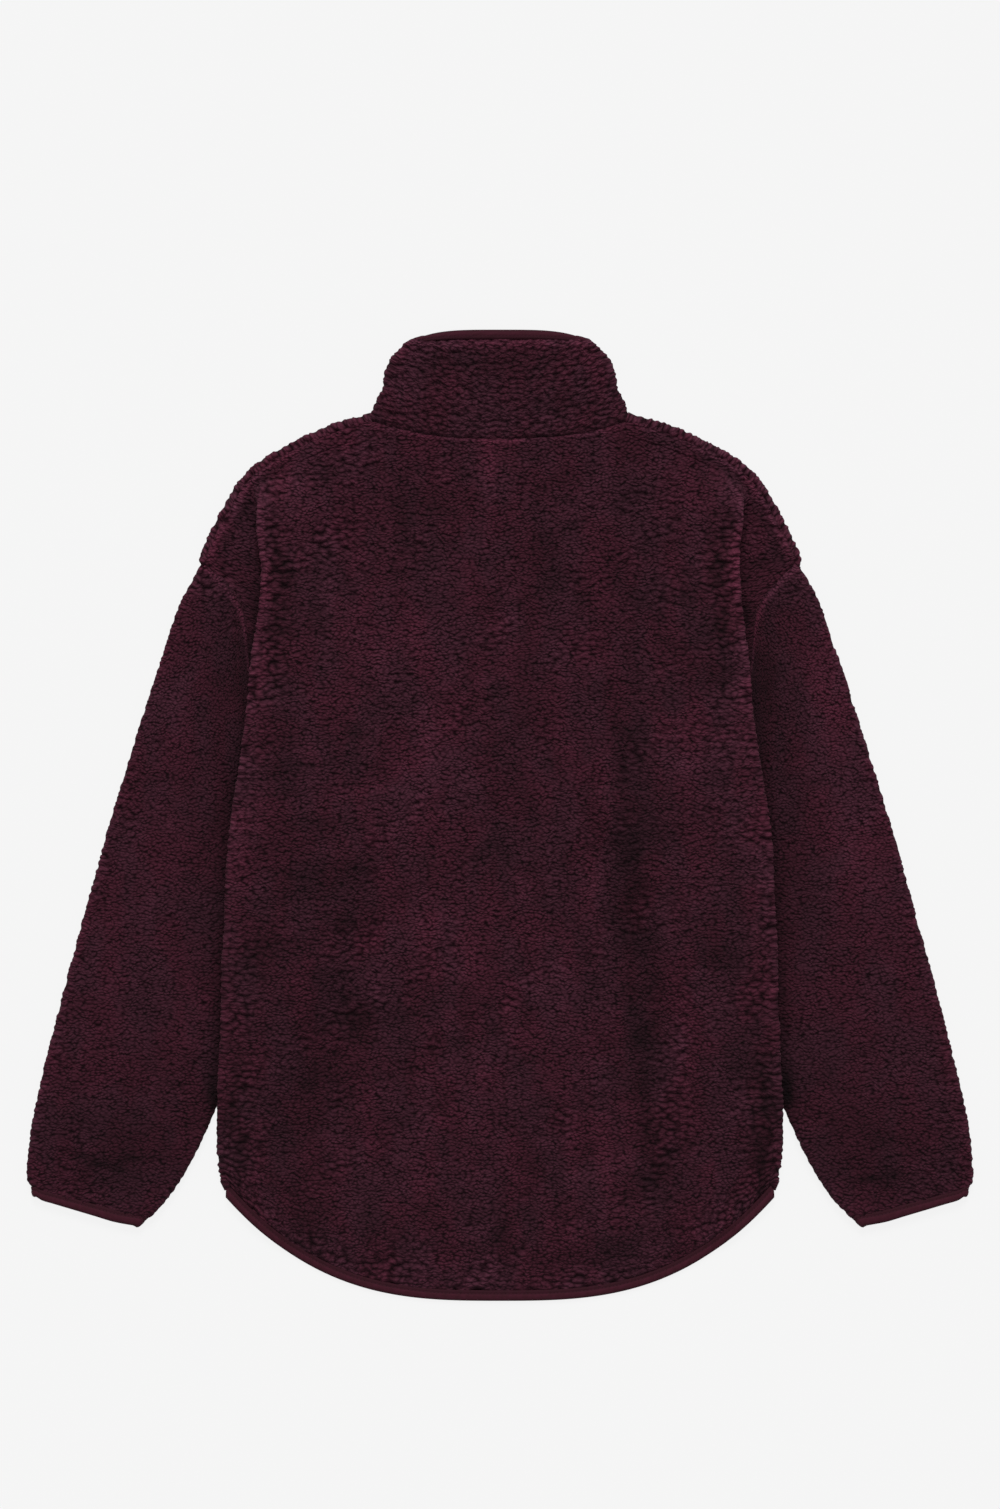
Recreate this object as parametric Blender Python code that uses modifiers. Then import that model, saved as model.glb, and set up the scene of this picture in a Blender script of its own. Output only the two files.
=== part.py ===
# Pile-fleece jacket, laid flat with its back up.
#
# Metres, +Z up. The surface it lies on is z = 0, the neck points to +Y and
# the wearer's left sleeve to -X. The origin is under the middle of the whole
# outline. Every cloth piece is a sheet: its middle surface is worked out row
# by row from the tables below, and Solidify gives it the cloth's thickness.
#
# The tables are in drafting units of 0.8 mm: x is counted out from the
# centre line and y down the jacket, with DATUM at the origin. The jacket is
# drafted as a half and mirrored.

import bpy
import math
from mathutils import Vector

# ---------------------------------------------------------------- sizes (m)
U = 0.0008            # one drafting unit
DATUM = 815.86        # drafting y of the origin
CLOTH = 0.0040        # pile fleece, backing and pile together
LAP = 0.0046          # middle of one layer to the middle of the next
SEAM = 0.0005         # gap between two sewn pieces
TAPE = 0.0030         # folded binding tape, thickness
TAPE_W = 9.0          # folded binding tape, width in drafting units
L1 = CLOTH / 2        # heights of the stacked layers' middles
L2 = L1 + LAP
L3 = L2 + LAP
L4 = L3 + LAP
CENTRE = 0.0082       # the back's middle over the zip
ZIP_EDGE = 6.6        # centre-front edge of each front, in drafting units
TURN = math.pi * LAP / 2   # length of cloth in one turned edge
ROLL = 7.5            # how far each front rolls over the shoulder

# the back's rows, from the neck seam down to the underarm.
# yc, ye: where the row starts on the centre line and ends; k: how it bends;
# xf: the turned edge; a1: how far the cloth turns there, in degrees;
# xi: how far in the cloth runs below; xe: the seam where the row ends
BACK_TOP = [
    # yc,    ye,   k,   xf,   a1,  xi,   xe,    a2
    (438.8, 421.0, 2.2, 108,   0, 108, 131.0,   0),
    (447.0, 431.5, 2.0, 134,   0, 134, 160.0,   0),
    (458.0, 450.5, 1.7, 180,   0, 180, 205.0,   0),
    (476.0, 475.5, 1.3, 226,  14, 226, 244.5,  14),
    (493.0, 492.0, 1.2, 244,  60, 243, 258.0,  60),
    (512.0, 511.0, 1.0, 245, 125, 240, 269.0, 125),
    (530.0, 530.0, 1.0, 243, 170, 235, 280.0, 170),
    (547.0, 547.0, 1.0, 241, 180, 230, 287.5, 180),
    (562.0, 562.0, 1.0, 240, 180, 226, 290.0, 180),
    (571.0, 571.0, 1.0, 240, 180, 223, 284.0, 180),
    (580.0, 580.0, 1.0, 240, 180, 220, 276.5, 180),
    (598.0, 598.0, 1.0, 241, 180, 214, 261.0, 180),
    (622.0, 622.0, 1.0, 244, 180, 206, 253.5, 180),
    (664.0, 664.0, 1.0, 250, 180, 192, 249.5, 180),
    (702.0, 702.0, 1.0, 253, 180, 180, 234.0, 180),
    (738.0, 738.0, 1.0, 257, 180, 168, 203.0, 180),
    (764.0, 764.0, 1.0, 260, 180, 160, 176.0, 180),
    (782.0, 782.0, 1.0, 263, 180, 155, 160.0,  95),
]
# the back's rows below the underarm, down to the hem.
# xs: the side seam, under the body; ze: the turned edge's height
BACK_LOW = [
    # yc,     ye,    k,     xf,    xi,   xs,   ze,           zs
    (798.0,  798.0, 1.0,  266.0, 152, 135, L4,          L2 + 0.0008),
    (850.0,  850.0, 1.0,  273.0, 176, 156, L4,          L1),
    (950.0,  950.0, 1.0,  277.5, 216, 196, L4,          L1),
    (1040.0, 1040.0, 1.0, 280.5, 251, 232, L4,          L1),
    (1110.0, 1100.0, 2.0, 283.0, 271, 254, L4 - 0.0006, L1),
    (1160.0, 1136.0, 2.4, 283.5, 274, 262, L4 - 0.0040, L1),
    (1203.0, 1158.0, 2.7, 282.5, 275, 265, L2 + 0.0022, L1),
    (1236.0, 1170.0, 2.9, 281.5, 275, 266, L2 + 0.0004, L1),
    (1266.0, 1177.0, 2.95, 280.5, 274, 266, L2,         L1),
    (1293.2, 1182.0, 2.965, 279.5, 273, 266, L2,        L1),
]
# the fronts' rows: where each starts at the zip and where it ends, with the
# angle by which its end rolls over the shoulder
FRONT = [
    # yc,    ye,    k,   xe,    roll, over
    (494.0, 414.0, 1.8, 137.0, 180, 1.0),
    (503.0, 422.0, 1.6, 166.0, 180, 1.0),
    (516.0, 440.0, 1.4, 206.0, 180, 1.0),
    (530.0, 460.0, 1.3, 241.0, 180, 1.0),
    (546.0, 480.0, 1.2, 262.0, 180, 1.0),
    (560.0, 512.0, 1.1, 281.0, 180, 1.0),
    (572.0, 540.0, 1.1, 295.0, 180, 1.0),
    (582.0, 553.0, 1.0, 300.5, 180, 0.6),
    (590.0, 560.5, 1.0, 302.0, 110, 0.0),
    (597.0, 567.5, 1.0, 299.5,  45, 0.0),
    (603.0, 573.0, 1.0, 290.5,   0, 0.0),
    (610.0, 580.0, 1.0, 276.5,   0, 0.0),
    (620.0, 598.0, 1.0, 261.0,   0, 0.0),
    (636.0, 622.0, 1.0, 253.5,   0, 0.0),
    (670.0, 664.0, 1.0, 249.5,   0, 0.0),
    (704.0, 702.0, 1.0, 234.0,   0, 0.0),
    (738.0, 738.0, 1.0, 203.0,   0, 0.0),
    (756.0, 756.0, 1.0, 178.0,   0, 0.0),
    (766.0, 766.0, 1.0, 156.0,   0, 0.0),
    (800.0, 800.0, 1.0, 131.0,   0, 0.0),
    (850.0, 850.0, 1.0, 154.5,   0, 0.0),
    (950.0, 950.0, 1.0, 194.5,   0, 0.0),
    (1040.0, 1040.0, 1.0, 230.5, 0, 0.0),
    (1110.0, 1100.0, 1.6, 252.5, 0, 0.0),
    (1160.0, 1136.0, 2.2, 260.5, 0, 0.0),
    (1195.0, 1162.0, 2.8, 263.5, 0, 0.0),
    (1218.0, 1183.0, 3.0, 265.0, 0, 0.0),
]
# armhole seam, from the shoulder tip to the underarm
ARMHOLE = [
    # u,    x,   y
    (0.00, 301, 566),
    (0.10, 278, 581),
    (0.20, 262, 599),
    (0.30, 254, 622),
    (0.45, 250, 664),
    (0.60, 235, 702),
    (0.78, 204, 738),
    (1.00, 166, 784),
]
# sleeve rows: outer edge, inner edge, and how much of the armhole's bend is left
SLEEVE = [
    # xo,   yo,   xi,   yi,  bend
    (301,  566,  166,  784, 1.00),
    (320,  599,  167,  795, 0.62),
    (336,  645,  170,  811, 0.25),
    (362,  725,  179,  843, 0.00),
    (391.5, 820, 196,  890, 0.00),
    (418,  915,  226,  966, 0.00),
    (443.5, 1010, 257, 1044, 0.00),
    (463,  1090, 287, 1116, 0.00),
    (473,  1142, 313, 1170, 0.00),
    (475.5, 1178, 336, 1204, 0.00),
    (472,  1188, 351, 1219, 0.00),
]
CUFF = [
    # xo,   yo,    xi,   yi
    (470.5, 1190.0, 354.0, 1220.8),
    (469.5, 1198.5, 363.0, 1230.2),
]
# collar rows from the neck seam up: side fold, centre back and centre front
COLLAR = [
    # xp,    yp,   yb,    yf,   kb,  zb
    (131.5, 417.5, 437.4, 492.0, 2.2, 0.0082),
    (125.0, 399.0, 418.0, 472.0, 2.2, 0.0098),
    (118.0, 387.0, 398.0, 451.0, 2.4, 0.0106),
    (114.5, 374.0, 378.0, 430.0, 2.6, 0.0104),
    (108.0, 360.0, 358.0, 410.0, 3.0, 0.0094),
    (97.0, 346.0, 338.0, 391.0, 4.0, 0.0080),
]
# the zip, on the underside
CHAIN_HALF = 0.0026
CHAIN_Z = (0.0030, 0.0044)
ZTAPE_HALF = 0.0140
ZTAPE_Z = (0.0047, 0.0054)
ZIP_TOP = 417.0
ZIP_END = 1227.0
SLIDER_Y = 408.0       # middle of the slider
SLIDER = (0.0080, 0.0100, 0.0022)
PIN_Z = 0.0019
PIN_R = 0.0006
EYE_R = 0.0009
BARREL_R = 0.0015
TAB_L = 0.022
TAB_W = 0.0056


# ---------------------------------------------------------------- helpers
def mix(a, b, t):
    return a + (b - a) * t


def smooth(t):
    t = max(0.0, min(1.0, t))
    return t * t * (3 - 2 * t)


def place(x, y, z):
    """drafting x, y and a height in metres, to the jacket's frame"""
    return (x * U, (DATUM - y) * U, z)


def front_hem(x):
    """drafting y of the fronts' lower edge, binding included"""
    return 1228.0 - 36.0 * (abs(x) / 278.0) ** 3


def back_hem(x):
    """drafting y of the back's lower edge, binding included"""
    return 1303.0 - 108.0 * (abs(x) / 278.0) ** 2.95


def rest_height(x, y):
    """the back's middle where it lies on the fronts or, past their hem,
    on the surface"""
    over = L2 + (CENTRE - L2) * math.exp(-(x / 34.0) ** 2)
    return mix(over, L1 + 0.0002, smooth((y - front_hem(x) - 8.0) / 34.0))


def arc(s, z, heading, angle, length, n):
    """n points of a bend that starts at (s, z) and turns by angle"""
    out = []
    for i in range(1, n + 1):
        a = angle * i / n
        if abs(a) < 1e-6:
            out.append((s + math.cos(heading) * length * i / n,
                        z + math.sin(heading) * length * i / n))
        else:
            r = length / angle
            out.append((s + r * (math.sin(heading + a) - math.sin(heading)),
                        z - r * (math.cos(heading + a) - math.cos(heading))))
    return out, heading + angle


def back_row(row, low, n=(3, 3, 1, 4, 1, 4, 1)):
    """one row of the back, from the centre line out, as (x, y, z)"""
    if low:
        yc, ye, k, xf, xi, xs, ze, zs = row
        a1 = 180.0
    else:
        yc, ye, k, xf, a1, xi, xs, a2 = row
    turn = -math.radians(a1)
    bend1, head = arc(0.0, 0.0, 0.0, turn, TURN, n[3])
    reach = max([0.0] + [p[0] for p in bend1])
    full = smooth((a1 - 60.0) / 100.0)
    s0 = xf * U - mix(TURN, reach + CLOTH / 2, full)
    # the cloth that runs back in under the turned edge
    inner = xi * U + LAP / 2 + CLOTH / 2
    run = max(0.0008, (s0 + bend1[-1][0] - inner) * full)
    pts = list(bend1)
    s, z = pts[-1]
    for i in range(1, n[4] + 1):
        pts.append((s + math.cos(head) * run * i / n[4],
                    z + math.sin(head) * run * i / n[4]))
    s, z = pts[-1]
    if low:
        # down to the side seam, level with the fronts
        drop = ze + z - zs
        m = n[5] + n[6]
        for i in range(1, m + 1):
            t = i / m
            pts.append((mix(s, xs * U - s0, t), z - drop * smooth(t)))
        edge = ze
    else:
        bend2, head = arc(s, z, head, math.radians(a2), TURN, n[5])
        pts += bend2
        s, z = pts[-1]
        wing = max(0.0006, xs * U - s0 - s)
        for i in range(1, n[6] + 1):
            pts.append((s + math.cos(head) * wing * i / n[6],
                        z + math.sin(head) * wing * i / n[6]))
        edge = L2 - z if a2 >= a1 else L4
    # the main stretch, which rises over what lies under its turned edge
    x1 = min(xi if not low else xs, xf - 12) - 10.0
    if not low:
        x1 = min(x1, s0 / U - 8.0)
    x0 = x1 - 56.0
    xs_main = [x0 * i / n[0] for i in range(n[0])]
    xs_main += [mix(x0, x1, i / n[1]) for i in range(n[1])]
    xs_main += [mix(x1, s0 / U, i / n[2]) for i in range(n[2] + 1)]
    end = s0 / U if low else xs
    out = []

    def row_y(x):
        return mix(yc, ye, min(1.0, x / end) ** k)
    for x in xs_main:
        y = row_y(x)
        base = rest_height(x, y)
        out.append((x, y, mix(base, edge, smooth((x - x0) / (x1 - x0)))))
    for s, z in pts:
        x = (s0 + s) / U
        out.append((x, ye if low else row_y(x), edge + z))
    return [place(*p) for p in out]


def front_row(i, n=(3, 4, 1)):
    """one row of a front, from the zip out, as (x, y, z)"""
    yc, ye, k, xe, roll, over = FRONT[i]
    angle = math.radians(roll)
    if roll:
        a = FRONT[max(0, i - 1)]
        b = FRONT[i + 1]
        tx, ty = b[3] - a[3], b[1] - a[1]
        size = math.hypot(tx, ty)
        nx, ny = ty / size, -tx / size
        back = max(0.0006, (ROLL * U - LAP / 2 - CLOTH / 2) * over)
    else:
        nx, ny = 1.0, 0.0
        back = 0.0010
    bend, head = arc(0.0, 0.0, 0.0, angle, TURN, n[1])
    pts = list(bend)
    s, z = pts[-1]
    for j in range(1, n[2] + 1):
        pts.append((s + math.cos(head) * back * j / n[2],
                    z + math.sin(head) * back * j / n[2]))
    reach = max(p[0] for p in pts) + mix(SEAM / 2, CLOTH / 2, min(1.0, roll / 90.0))
    bx, by = xe - nx * reach / U, ye - ny * reach / U
    out = []
    for j in range(n[0] + 1):
        t = j / n[0]
        x = mix(ZIP_EDGE, bx, t)
        out.append((x, mix(yc, by, t ** k), L1))
    for s, z in pts:
        out.append((bx + nx * s / U, by + ny * s / U, L1 + z))
    return [place(*p) for p in out]


def between(table, t, col):
    for a, b in zip(table, table[1:]):
        if t <= b[0]:
            return mix(a[col], b[col], (t - a[0]) / (b[0] - a[0]))
    return table[-1][col]


def tube_row(xo, yo, xi, yi, out_n, in_n, bend=0.0, gap=(0.0, 0.0), wide=CLOTH,
             low=L1, high=L2, n=4):
    """one ring of a flattened tube, from its outer edge over the top to its
    inner edge and back below"""
    size = math.hypot(xi - xo, yi - yo)
    ex, ey = (xi - xo) / size, (yi - yo) / size
    r = (high - low) / 2
    pad = (wide / 2 + r) / U
    ring = []

    stations = [0.0] + [row[0] for row in ARMHOLE[1:-1]] + [1.0]

    def flat(i):
        u = stations[i]
        if u in (0.0, 1.0):
            x, y, nx, ny = (xo, yo) + out_n if u == 0.0 else (xi, yi) + in_n
            return (x - nx * pad + gap[0], y - ny * pad + gap[1])
        d = u * size
        dx = between(ARMHOLE, u, 1) - mix(ARMHOLE[0][1], ARMHOLE[-1][1], u)
        dy = between(ARMHOLE, u, 2) - mix(ARMHOLE[0][2], ARMHOLE[-1][2], u)
        return (xo + ex * d + dx * bend + gap[0], yo + ey * d + dy * bend + gap[1])
    for i in range(len(stations) - 1):
        ring.append(flat(i) + (high,))
    x, y = flat(-1)
    for i in range(n):
        a = math.pi * i / n
        ring.append((x + in_n[0] * r * math.sin(a) / U, y + in_n[1] * r * math.sin(a) / U,
                     (high + low) / 2 + r * math.cos(a)))
    for i in range(len(stations) - 1):
        ring.append(flat(-1 - i) + (low,))
    x, y = flat(0)
    for i in range(n):
        a = math.pi * i / n
        ring.append((x + out_n[0] * r * math.sin(a) / U, y + out_n[1] * r * math.sin(a) / U,
                     (high + low) / 2 - r * math.cos(a)))
    return [place(*p) for p in ring]


def edge_normals(table, col, side):
    """for each row, the direction out of the edge whose x, y start at col"""
    out = []
    for i in range(len(table)):
        a, b = table[max(0, i - 1)], table[min(len(table) - 1, i + 1)]
        tx, ty = b[col] - a[col], b[col + 1] - a[col + 1]
        size = math.hypot(tx, ty)
        out.append((side * ty / size, -side * tx / size))
    return out


def tube_rows(table, **more):
    outer, inner = edge_normals(table, 0, 1), edge_normals(table, 2, -1)
    return [tube_row(*row[:4], outer[i], inner[i], *row[4:],
                     gap=(1.1, 0.9) if row[4:] == (1.0,) else (0, 0), **more)
            for i, row in enumerate(table)]


def collar_row(row, n=(6, 4, 4), up=0.0, narrow=1.0):
    """half a ring of the collar, from the centre back round its side fold to
    the zip"""
    xp, yp, yb, yf, kb, zb = row
    side = L2 + 0.0006
    r = (side - L1) / 2
    out = []
    x1 = (xp * U - (CLOTH / 2 + r)) / U
    for i in range(n[0] + 1):
        x = x1 * i / n[0]
        z = mix(zb, side, smooth(x / x1) ** 1.4)
        out.append((x * narrow, mix(yb, yp, (x / xp) ** kb) - up, z))
    for i in range(1, n[1]):
        a = math.pi * i / n[1]
        x = x1 + r * math.sin(a) / U
        out.append((x * narrow, mix(yb, yp, (min(x, xp) / xp) ** kb) - up,
                    (side + L1) / 2 + r * math.cos(a)))
    ys = mix(yb, yp, (x1 / xp) ** kb)
    for i in range(n[2] + 1):
        t = i / n[2]
        x = mix(x1 * narrow, ZIP_EDGE, t)
        out.append((x, mix(ys, yf, 1 - (1 - t) ** 1.8) - up, L1))
    return [place(*p) for p in out]


# ---------------------------------------------------------------- scene set-up
for ob in list(bpy.data.objects):
    bpy.data.objects.remove(ob, do_unlink=True)

jacket = bpy.data.collections.new("pile_fleece_jacket")
bpy.context.scene.collection.children.link(jacket)
cutters = bpy.data.collections.new("cutters")
bpy.context.scene.collection.children.link(cutters)


def material(name, colour, roughness, metallic=0.0):
    mat = bpy.data.materials.new(name)
    mat.use_nodes = True
    bsdf = mat.node_tree.nodes["Principled BSDF"]
    bsdf.inputs["Base Color"].default_value = colour + (1.0,)
    bsdf.inputs["Roughness"].default_value = roughness
    bsdf.inputs["Metallic"].default_value = metallic
    return mat


PILE = material("pile_fleece", (0.031, 0.009, 0.015), 0.95)
BINDING = material("binding_tape", (0.043, 0.011, 0.019), 0.80)
ZIPTAPE = material("zip_tape", (0.030, 0.009, 0.014), 0.85)
TEETH = material("zip_teeth", (0.034, 0.010, 0.016), 0.45)
METAL = material("zip_metal", (0.09, 0.08, 0.085), 0.35, 1.0)


def mesh_object(name, verts, faces, mat, folder=None):
    mesh = bpy.data.meshes.new(name)
    mesh.from_pydata([Vector(v) for v in verts], [], faces)
    mesh.materials.append(mat)
    ob = bpy.data.objects.new(name, mesh)
    (folder or jacket).objects.link(ob)
    return ob


def sheet(name, rows, mat, thick=CLOTH, side=1, ring=False, mirror=False):
    """a cloth piece: rows of middle-surface points, given its thickness"""
    cols = len(rows[0])
    verts = [(p[0] * side, p[1], p[2]) for row in rows for p in row]
    faces = []
    for j in range(len(rows) - 1):
        for i in range(cols if ring else cols - 1):
            a, b = j * cols + i, j * cols + (i + 1) % cols
            quad = (a, a + cols, b + cols, b)
            faces.append(quad if side > 0 else quad[::-1])
    ob = mesh_object(name, verts, faces, mat)
    if mirror:
        mod = ob.modifiers.new("other_half", "MIRROR")
        mod.use_axis = (True, False, False)
        mod.use_clip = True
        mod.merge_threshold = 0.00005
    mod = ob.modifiers.new("thickness", "SOLIDIFY")
    mod.thickness = thick
    mod.offset = 0.0
    mod.use_rim = True
    ob.data.shade_smooth()
    ob.data.set_sharp_from_angle(angle=math.radians(40))
    return ob


def box(name, size, centre, mat, bevel=0.0):
    bpy.ops.mesh.primitive_cube_add(size=1.0, location=centre)
    ob = bpy.context.active_object
    ob.name = name
    ob.scale = size
    bpy.ops.object.transform_apply(location=False, rotation=False, scale=True)
    ob.data.materials.append(mat)
    for c in list(ob.users_collection):
        c.objects.unlink(ob)
    jacket.objects.link(ob)
    if bevel:
        mod = ob.modifiers.new("edges", "BEVEL")
        mod.width = bevel
        mod.segments = 2
        mod.limit_method = "ANGLE"
    return ob


def rod(name, radius, length, centre, mat, sides=16):
    bpy.ops.mesh.primitive_cylinder_add(vertices=sides, radius=radius, depth=length,
                                        location=centre, rotation=(0, math.pi / 2, 0))
    ob = bpy.context.active_object
    ob.name = name
    ob.data.materials.append(mat)
    for c in list(ob.users_collection):
        c.objects.unlink(ob)
    jacket.objects.link(ob)
    return ob


def combine(ob, other, operation):
    mod = ob.modifiers.new(operation.lower() + "_" + other.name, "BOOLEAN")
    mod.operation = operation
    mod.object = other
    jacket.objects.unlink(other)
    cutters.objects.link(other)
    other.hide_render = True
    other.display_type = "WIRE"


# ---------------------------------------------------------------- body
sheet("back_panel",
      [back_row(r, False) for r in BACK_TOP] + [back_row(r, True) for r in BACK_LOW],
      PILE, mirror=True)
front_rows = [front_row(i) for i in range(len(FRONT))]
for name, side in (("front_panel_left", -1), ("front_panel_right", 1)):
    sheet(name, front_rows, PILE, side=side)

# ---------------------------------------------------------------- sleeves
sleeve_rows = tube_rows(SLEEVE)
cuff_rows = tube_rows(CUFF, wide=TAPE)
for name, side in (("left", -1), ("right", 1)):
    sheet("sleeve_" + name, sleeve_rows, PILE, side=side, ring=True)
    sheet("cuff_binding_" + name, cuff_rows, BINDING, thick=TAPE, side=side, ring=True)

# ---------------------------------------------------------------- collar
sheet("collar", [collar_row(r) for r in COLLAR], PILE, mirror=True)
edge = COLLAR[-1]
sheet("collar_binding",
      [collar_row(edge, up=1.3), collar_row(edge, up=1.3 + 0.45 * TAPE_W, narrow=0.98),
       collar_row(edge, up=0.2 + TAPE_W, narrow=0.95)],
      BINDING, thick=TAPE, mirror=True)


# ---------------------------------------------------------------- hem bindings
def hem_rows(curve, xa, ends, height, n=18):
    """a folded tape along a hem: inner edge, middle and outer edge"""
    rows = []
    for d, xb in zip((TAPE_W, TAPE_W / 2, 0.0), ends):
        row = []
        for i in range(n + 1):
            x = mix(xa, xb, i / n)
            slope = curve(x + 0.5) - curve(x - 0.5)
            size = math.hypot(1.0, slope)
            px = x + slope / size * d if i else xa      # towards the panel
            py = curve(x) - d / size
            row.append(place(px, py, height(px, py)))
        rows.append(row)
    return rows


sheet("hem_binding_back",
      hem_rows(back_hem, 0.0, (279.5, 278.5, 276.0),
               lambda x, y: mix(rest_height(x, y), L2, smooth((x - 205) / 50)), n=14),
      BINDING, thick=TAPE, mirror=True)
for name, side in (("hem_binding_front_left", -1), ("hem_binding_front_right", 1)):
    sheet(name, hem_rows(front_hem, ZIP_EDGE, (268.0, 266.0, 264.0), lambda x, y: L1, n=10),
          BINDING,
          thick=TAPE, side=side)

# ---------------------------------------------------------------- zip
y_top, y_end = (DATUM - ZIP_TOP) * U, (DATUM - ZIP_END) * U
y_mid, y_len = (y_top + y_end) / 2, y_top - y_end
box("zip_chain", (2 * CHAIN_HALF, y_len, CHAIN_Z[1] - CHAIN_Z[0]),
    (0, y_mid, sum(CHAIN_Z) / 2), TEETH, bevel=0.0003)
for name, side in (("zip_tape_left", -1), ("zip_tape_right", 1)):
    wide = ZTAPE_HALF - 0.0003
    box(name, (wide, y_len, ZTAPE_Z[1] - ZTAPE_Z[0]),
        (side * (0.0003 + wide / 2), y_mid, sum(ZTAPE_Z) / 2), ZIPTAPE)

y_s = (DATUM - SLIDER_Y) * U
z_plate = PIN_Z + BARREL_R + 0.0003 + SLIDER[2] / 2
y_pin = y_s - 0.0012
slider = box("zip_slider", SLIDER, (0, y_s, z_plate), METAL, bevel=0.0007)
for k, side in enumerate((-1, 1)):
    ear = box("ear_%d" % k, (0.0010, 0.0040, z_plate - PIN_Z + 0.0014),
              (side * 0.0031, y_pin, (z_plate + PIN_Z - 0.0014) / 2), METAL)
    combine(slider, ear, "UNION")
combine(slider, rod("pin", PIN_R, 0.0062, (0, y_pin, PIN_Z), METAL), "UNION")

tab = box("zip_pull_tab", (TAB_W, TAB_L, 0.0012), (0, y_pin - 0.0028 - TAB_L / 2, PIN_Z), METAL,
          bevel=0.0004)
neck = box("neck", (0.0034, 0.0040, 0.0012), (0, y_pin - 0.0022, PIN_Z), METAL)
combine(tab, neck, "UNION")
combine(tab, rod("barrel", BARREL_R, 0.0040, (0, y_pin, PIN_Z), METAL, sides=20), "UNION")
combine(tab, rod("eye", EYE_R, 0.0080, (0, y_pin, PIN_Z), METAL, sides=20), "DIFFERENCE")
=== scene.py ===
import bpy
import math
import numpy as np
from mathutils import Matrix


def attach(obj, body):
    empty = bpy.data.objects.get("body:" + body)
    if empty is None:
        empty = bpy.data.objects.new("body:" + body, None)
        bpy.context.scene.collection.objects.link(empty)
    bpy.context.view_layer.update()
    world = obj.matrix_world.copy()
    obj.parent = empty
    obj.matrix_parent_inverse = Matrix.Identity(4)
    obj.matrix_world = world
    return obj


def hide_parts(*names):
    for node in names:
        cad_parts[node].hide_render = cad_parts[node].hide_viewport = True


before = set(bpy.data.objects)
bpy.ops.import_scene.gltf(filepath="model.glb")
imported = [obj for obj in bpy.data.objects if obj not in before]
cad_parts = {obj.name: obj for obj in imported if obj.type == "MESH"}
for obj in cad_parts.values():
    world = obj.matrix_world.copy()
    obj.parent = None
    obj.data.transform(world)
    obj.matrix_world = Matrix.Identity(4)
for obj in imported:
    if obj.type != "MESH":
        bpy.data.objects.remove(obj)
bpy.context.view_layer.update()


# ---------------------------------------------------------------- sizes (m)
U = 0.0008            # one drafting unit
DATUM = 815.86        # drafting y of the origin
CLOTH = 0.0040        # pile fleece, backing and pile together
LAP = 0.0046          # middle of one layer to the middle of the next
SEAM = 0.0005         # gap between two sewn pieces
TAPE = 0.0030         # folded binding tape, thickness
TAPE_W = 9.0          # folded binding tape, width in drafting units
L1 = CLOTH / 2        # heights of the stacked layers' middles
L2 = L1 + LAP
L3 = L2 + LAP
L4 = L3 + LAP
CENTRE = 0.0082       # the back's middle over the zip
ZIP_EDGE = 6.6        # centre-front edge of each front, in drafting units
TURN = math.pi * LAP / 2   # length of cloth in one turned edge
ROLL = 7.5            # how far each front rolls over the shoulder

# the back's rows, from the neck seam down to the underarm.
# yc, ye: where the row starts on the centre line and ends; k: how it bends;
# xf: the turned edge; a1: how far the cloth turns there, in degrees;
# xi: how far in the cloth runs below; xe: the seam where the row ends
BACK_TOP = [
    # yc,    ye,   k,   xf,   a1,  xi,   xe,    a2
    (438.8, 421.0, 2.2, 108,   0, 108, 131.0,   0),
    (447.0, 431.5, 2.0, 134,   0, 134, 160.0,   0),
    (458.0, 450.5, 1.7, 180,   0, 180, 205.0,   0),
    (476.0, 475.5, 1.3, 226,  14, 226, 244.5,  14),
    (493.0, 492.0, 1.2, 244,  60, 243, 258.0,  60),
    (512.0, 511.0, 1.0, 245, 125, 240, 269.0, 125),
    (530.0, 530.0, 1.0, 243, 170, 235, 280.0, 170),
    (547.0, 547.0, 1.0, 241, 180, 230, 287.5, 180),
    (562.0, 562.0, 1.0, 240, 180, 226, 290.0, 180),
    (571.0, 571.0, 1.0, 240, 180, 223, 284.0, 180),
    (580.0, 580.0, 1.0, 240, 180, 220, 276.5, 180),
    (598.0, 598.0, 1.0, 241, 180, 214, 261.0, 180),
    (622.0, 622.0, 1.0, 244, 180, 206, 253.5, 180),
    (664.0, 664.0, 1.0, 250, 180, 192, 249.5, 180),
    (702.0, 702.0, 1.0, 253, 180, 180, 234.0, 180),
    (738.0, 738.0, 1.0, 257, 180, 168, 203.0, 180),
    (764.0, 764.0, 1.0, 260, 180, 160, 176.0, 180),
    (782.0, 782.0, 1.0, 263, 180, 155, 160.0,  95),
]
# the back's rows below the underarm, down to the hem.
# xs: the side seam, under the body; ze: the turned edge's height
BACK_LOW = [
    # yc,     ye,    k,     xf,    xi,   xs,   ze,           zs
    (798.0,  798.0, 1.0,  266.0, 152, 135, L4,          L2 + 0.0008),
    (850.0,  850.0, 1.0,  273.0, 176, 156, L4,          L1),
    (950.0,  950.0, 1.0,  277.5, 216, 196, L4,          L1),
    (1040.0, 1040.0, 1.0, 280.5, 251, 232, L4,          L1),
    (1110.0, 1100.0, 2.0, 283.0, 271, 254, L4 - 0.0006, L1),
    (1160.0, 1136.0, 2.4, 283.5, 274, 262, L4 - 0.0040, L1),
    (1203.0, 1158.0, 2.7, 282.5, 275, 265, L2 + 0.0022, L1),
    (1236.0, 1170.0, 2.9, 281.5, 275, 266, L2 + 0.0004, L1),
    (1266.0, 1177.0, 2.95, 280.5, 274, 266, L2,         L1),
    (1293.2, 1182.0, 2.965, 279.5, 273, 266, L2,        L1),
]
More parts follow.
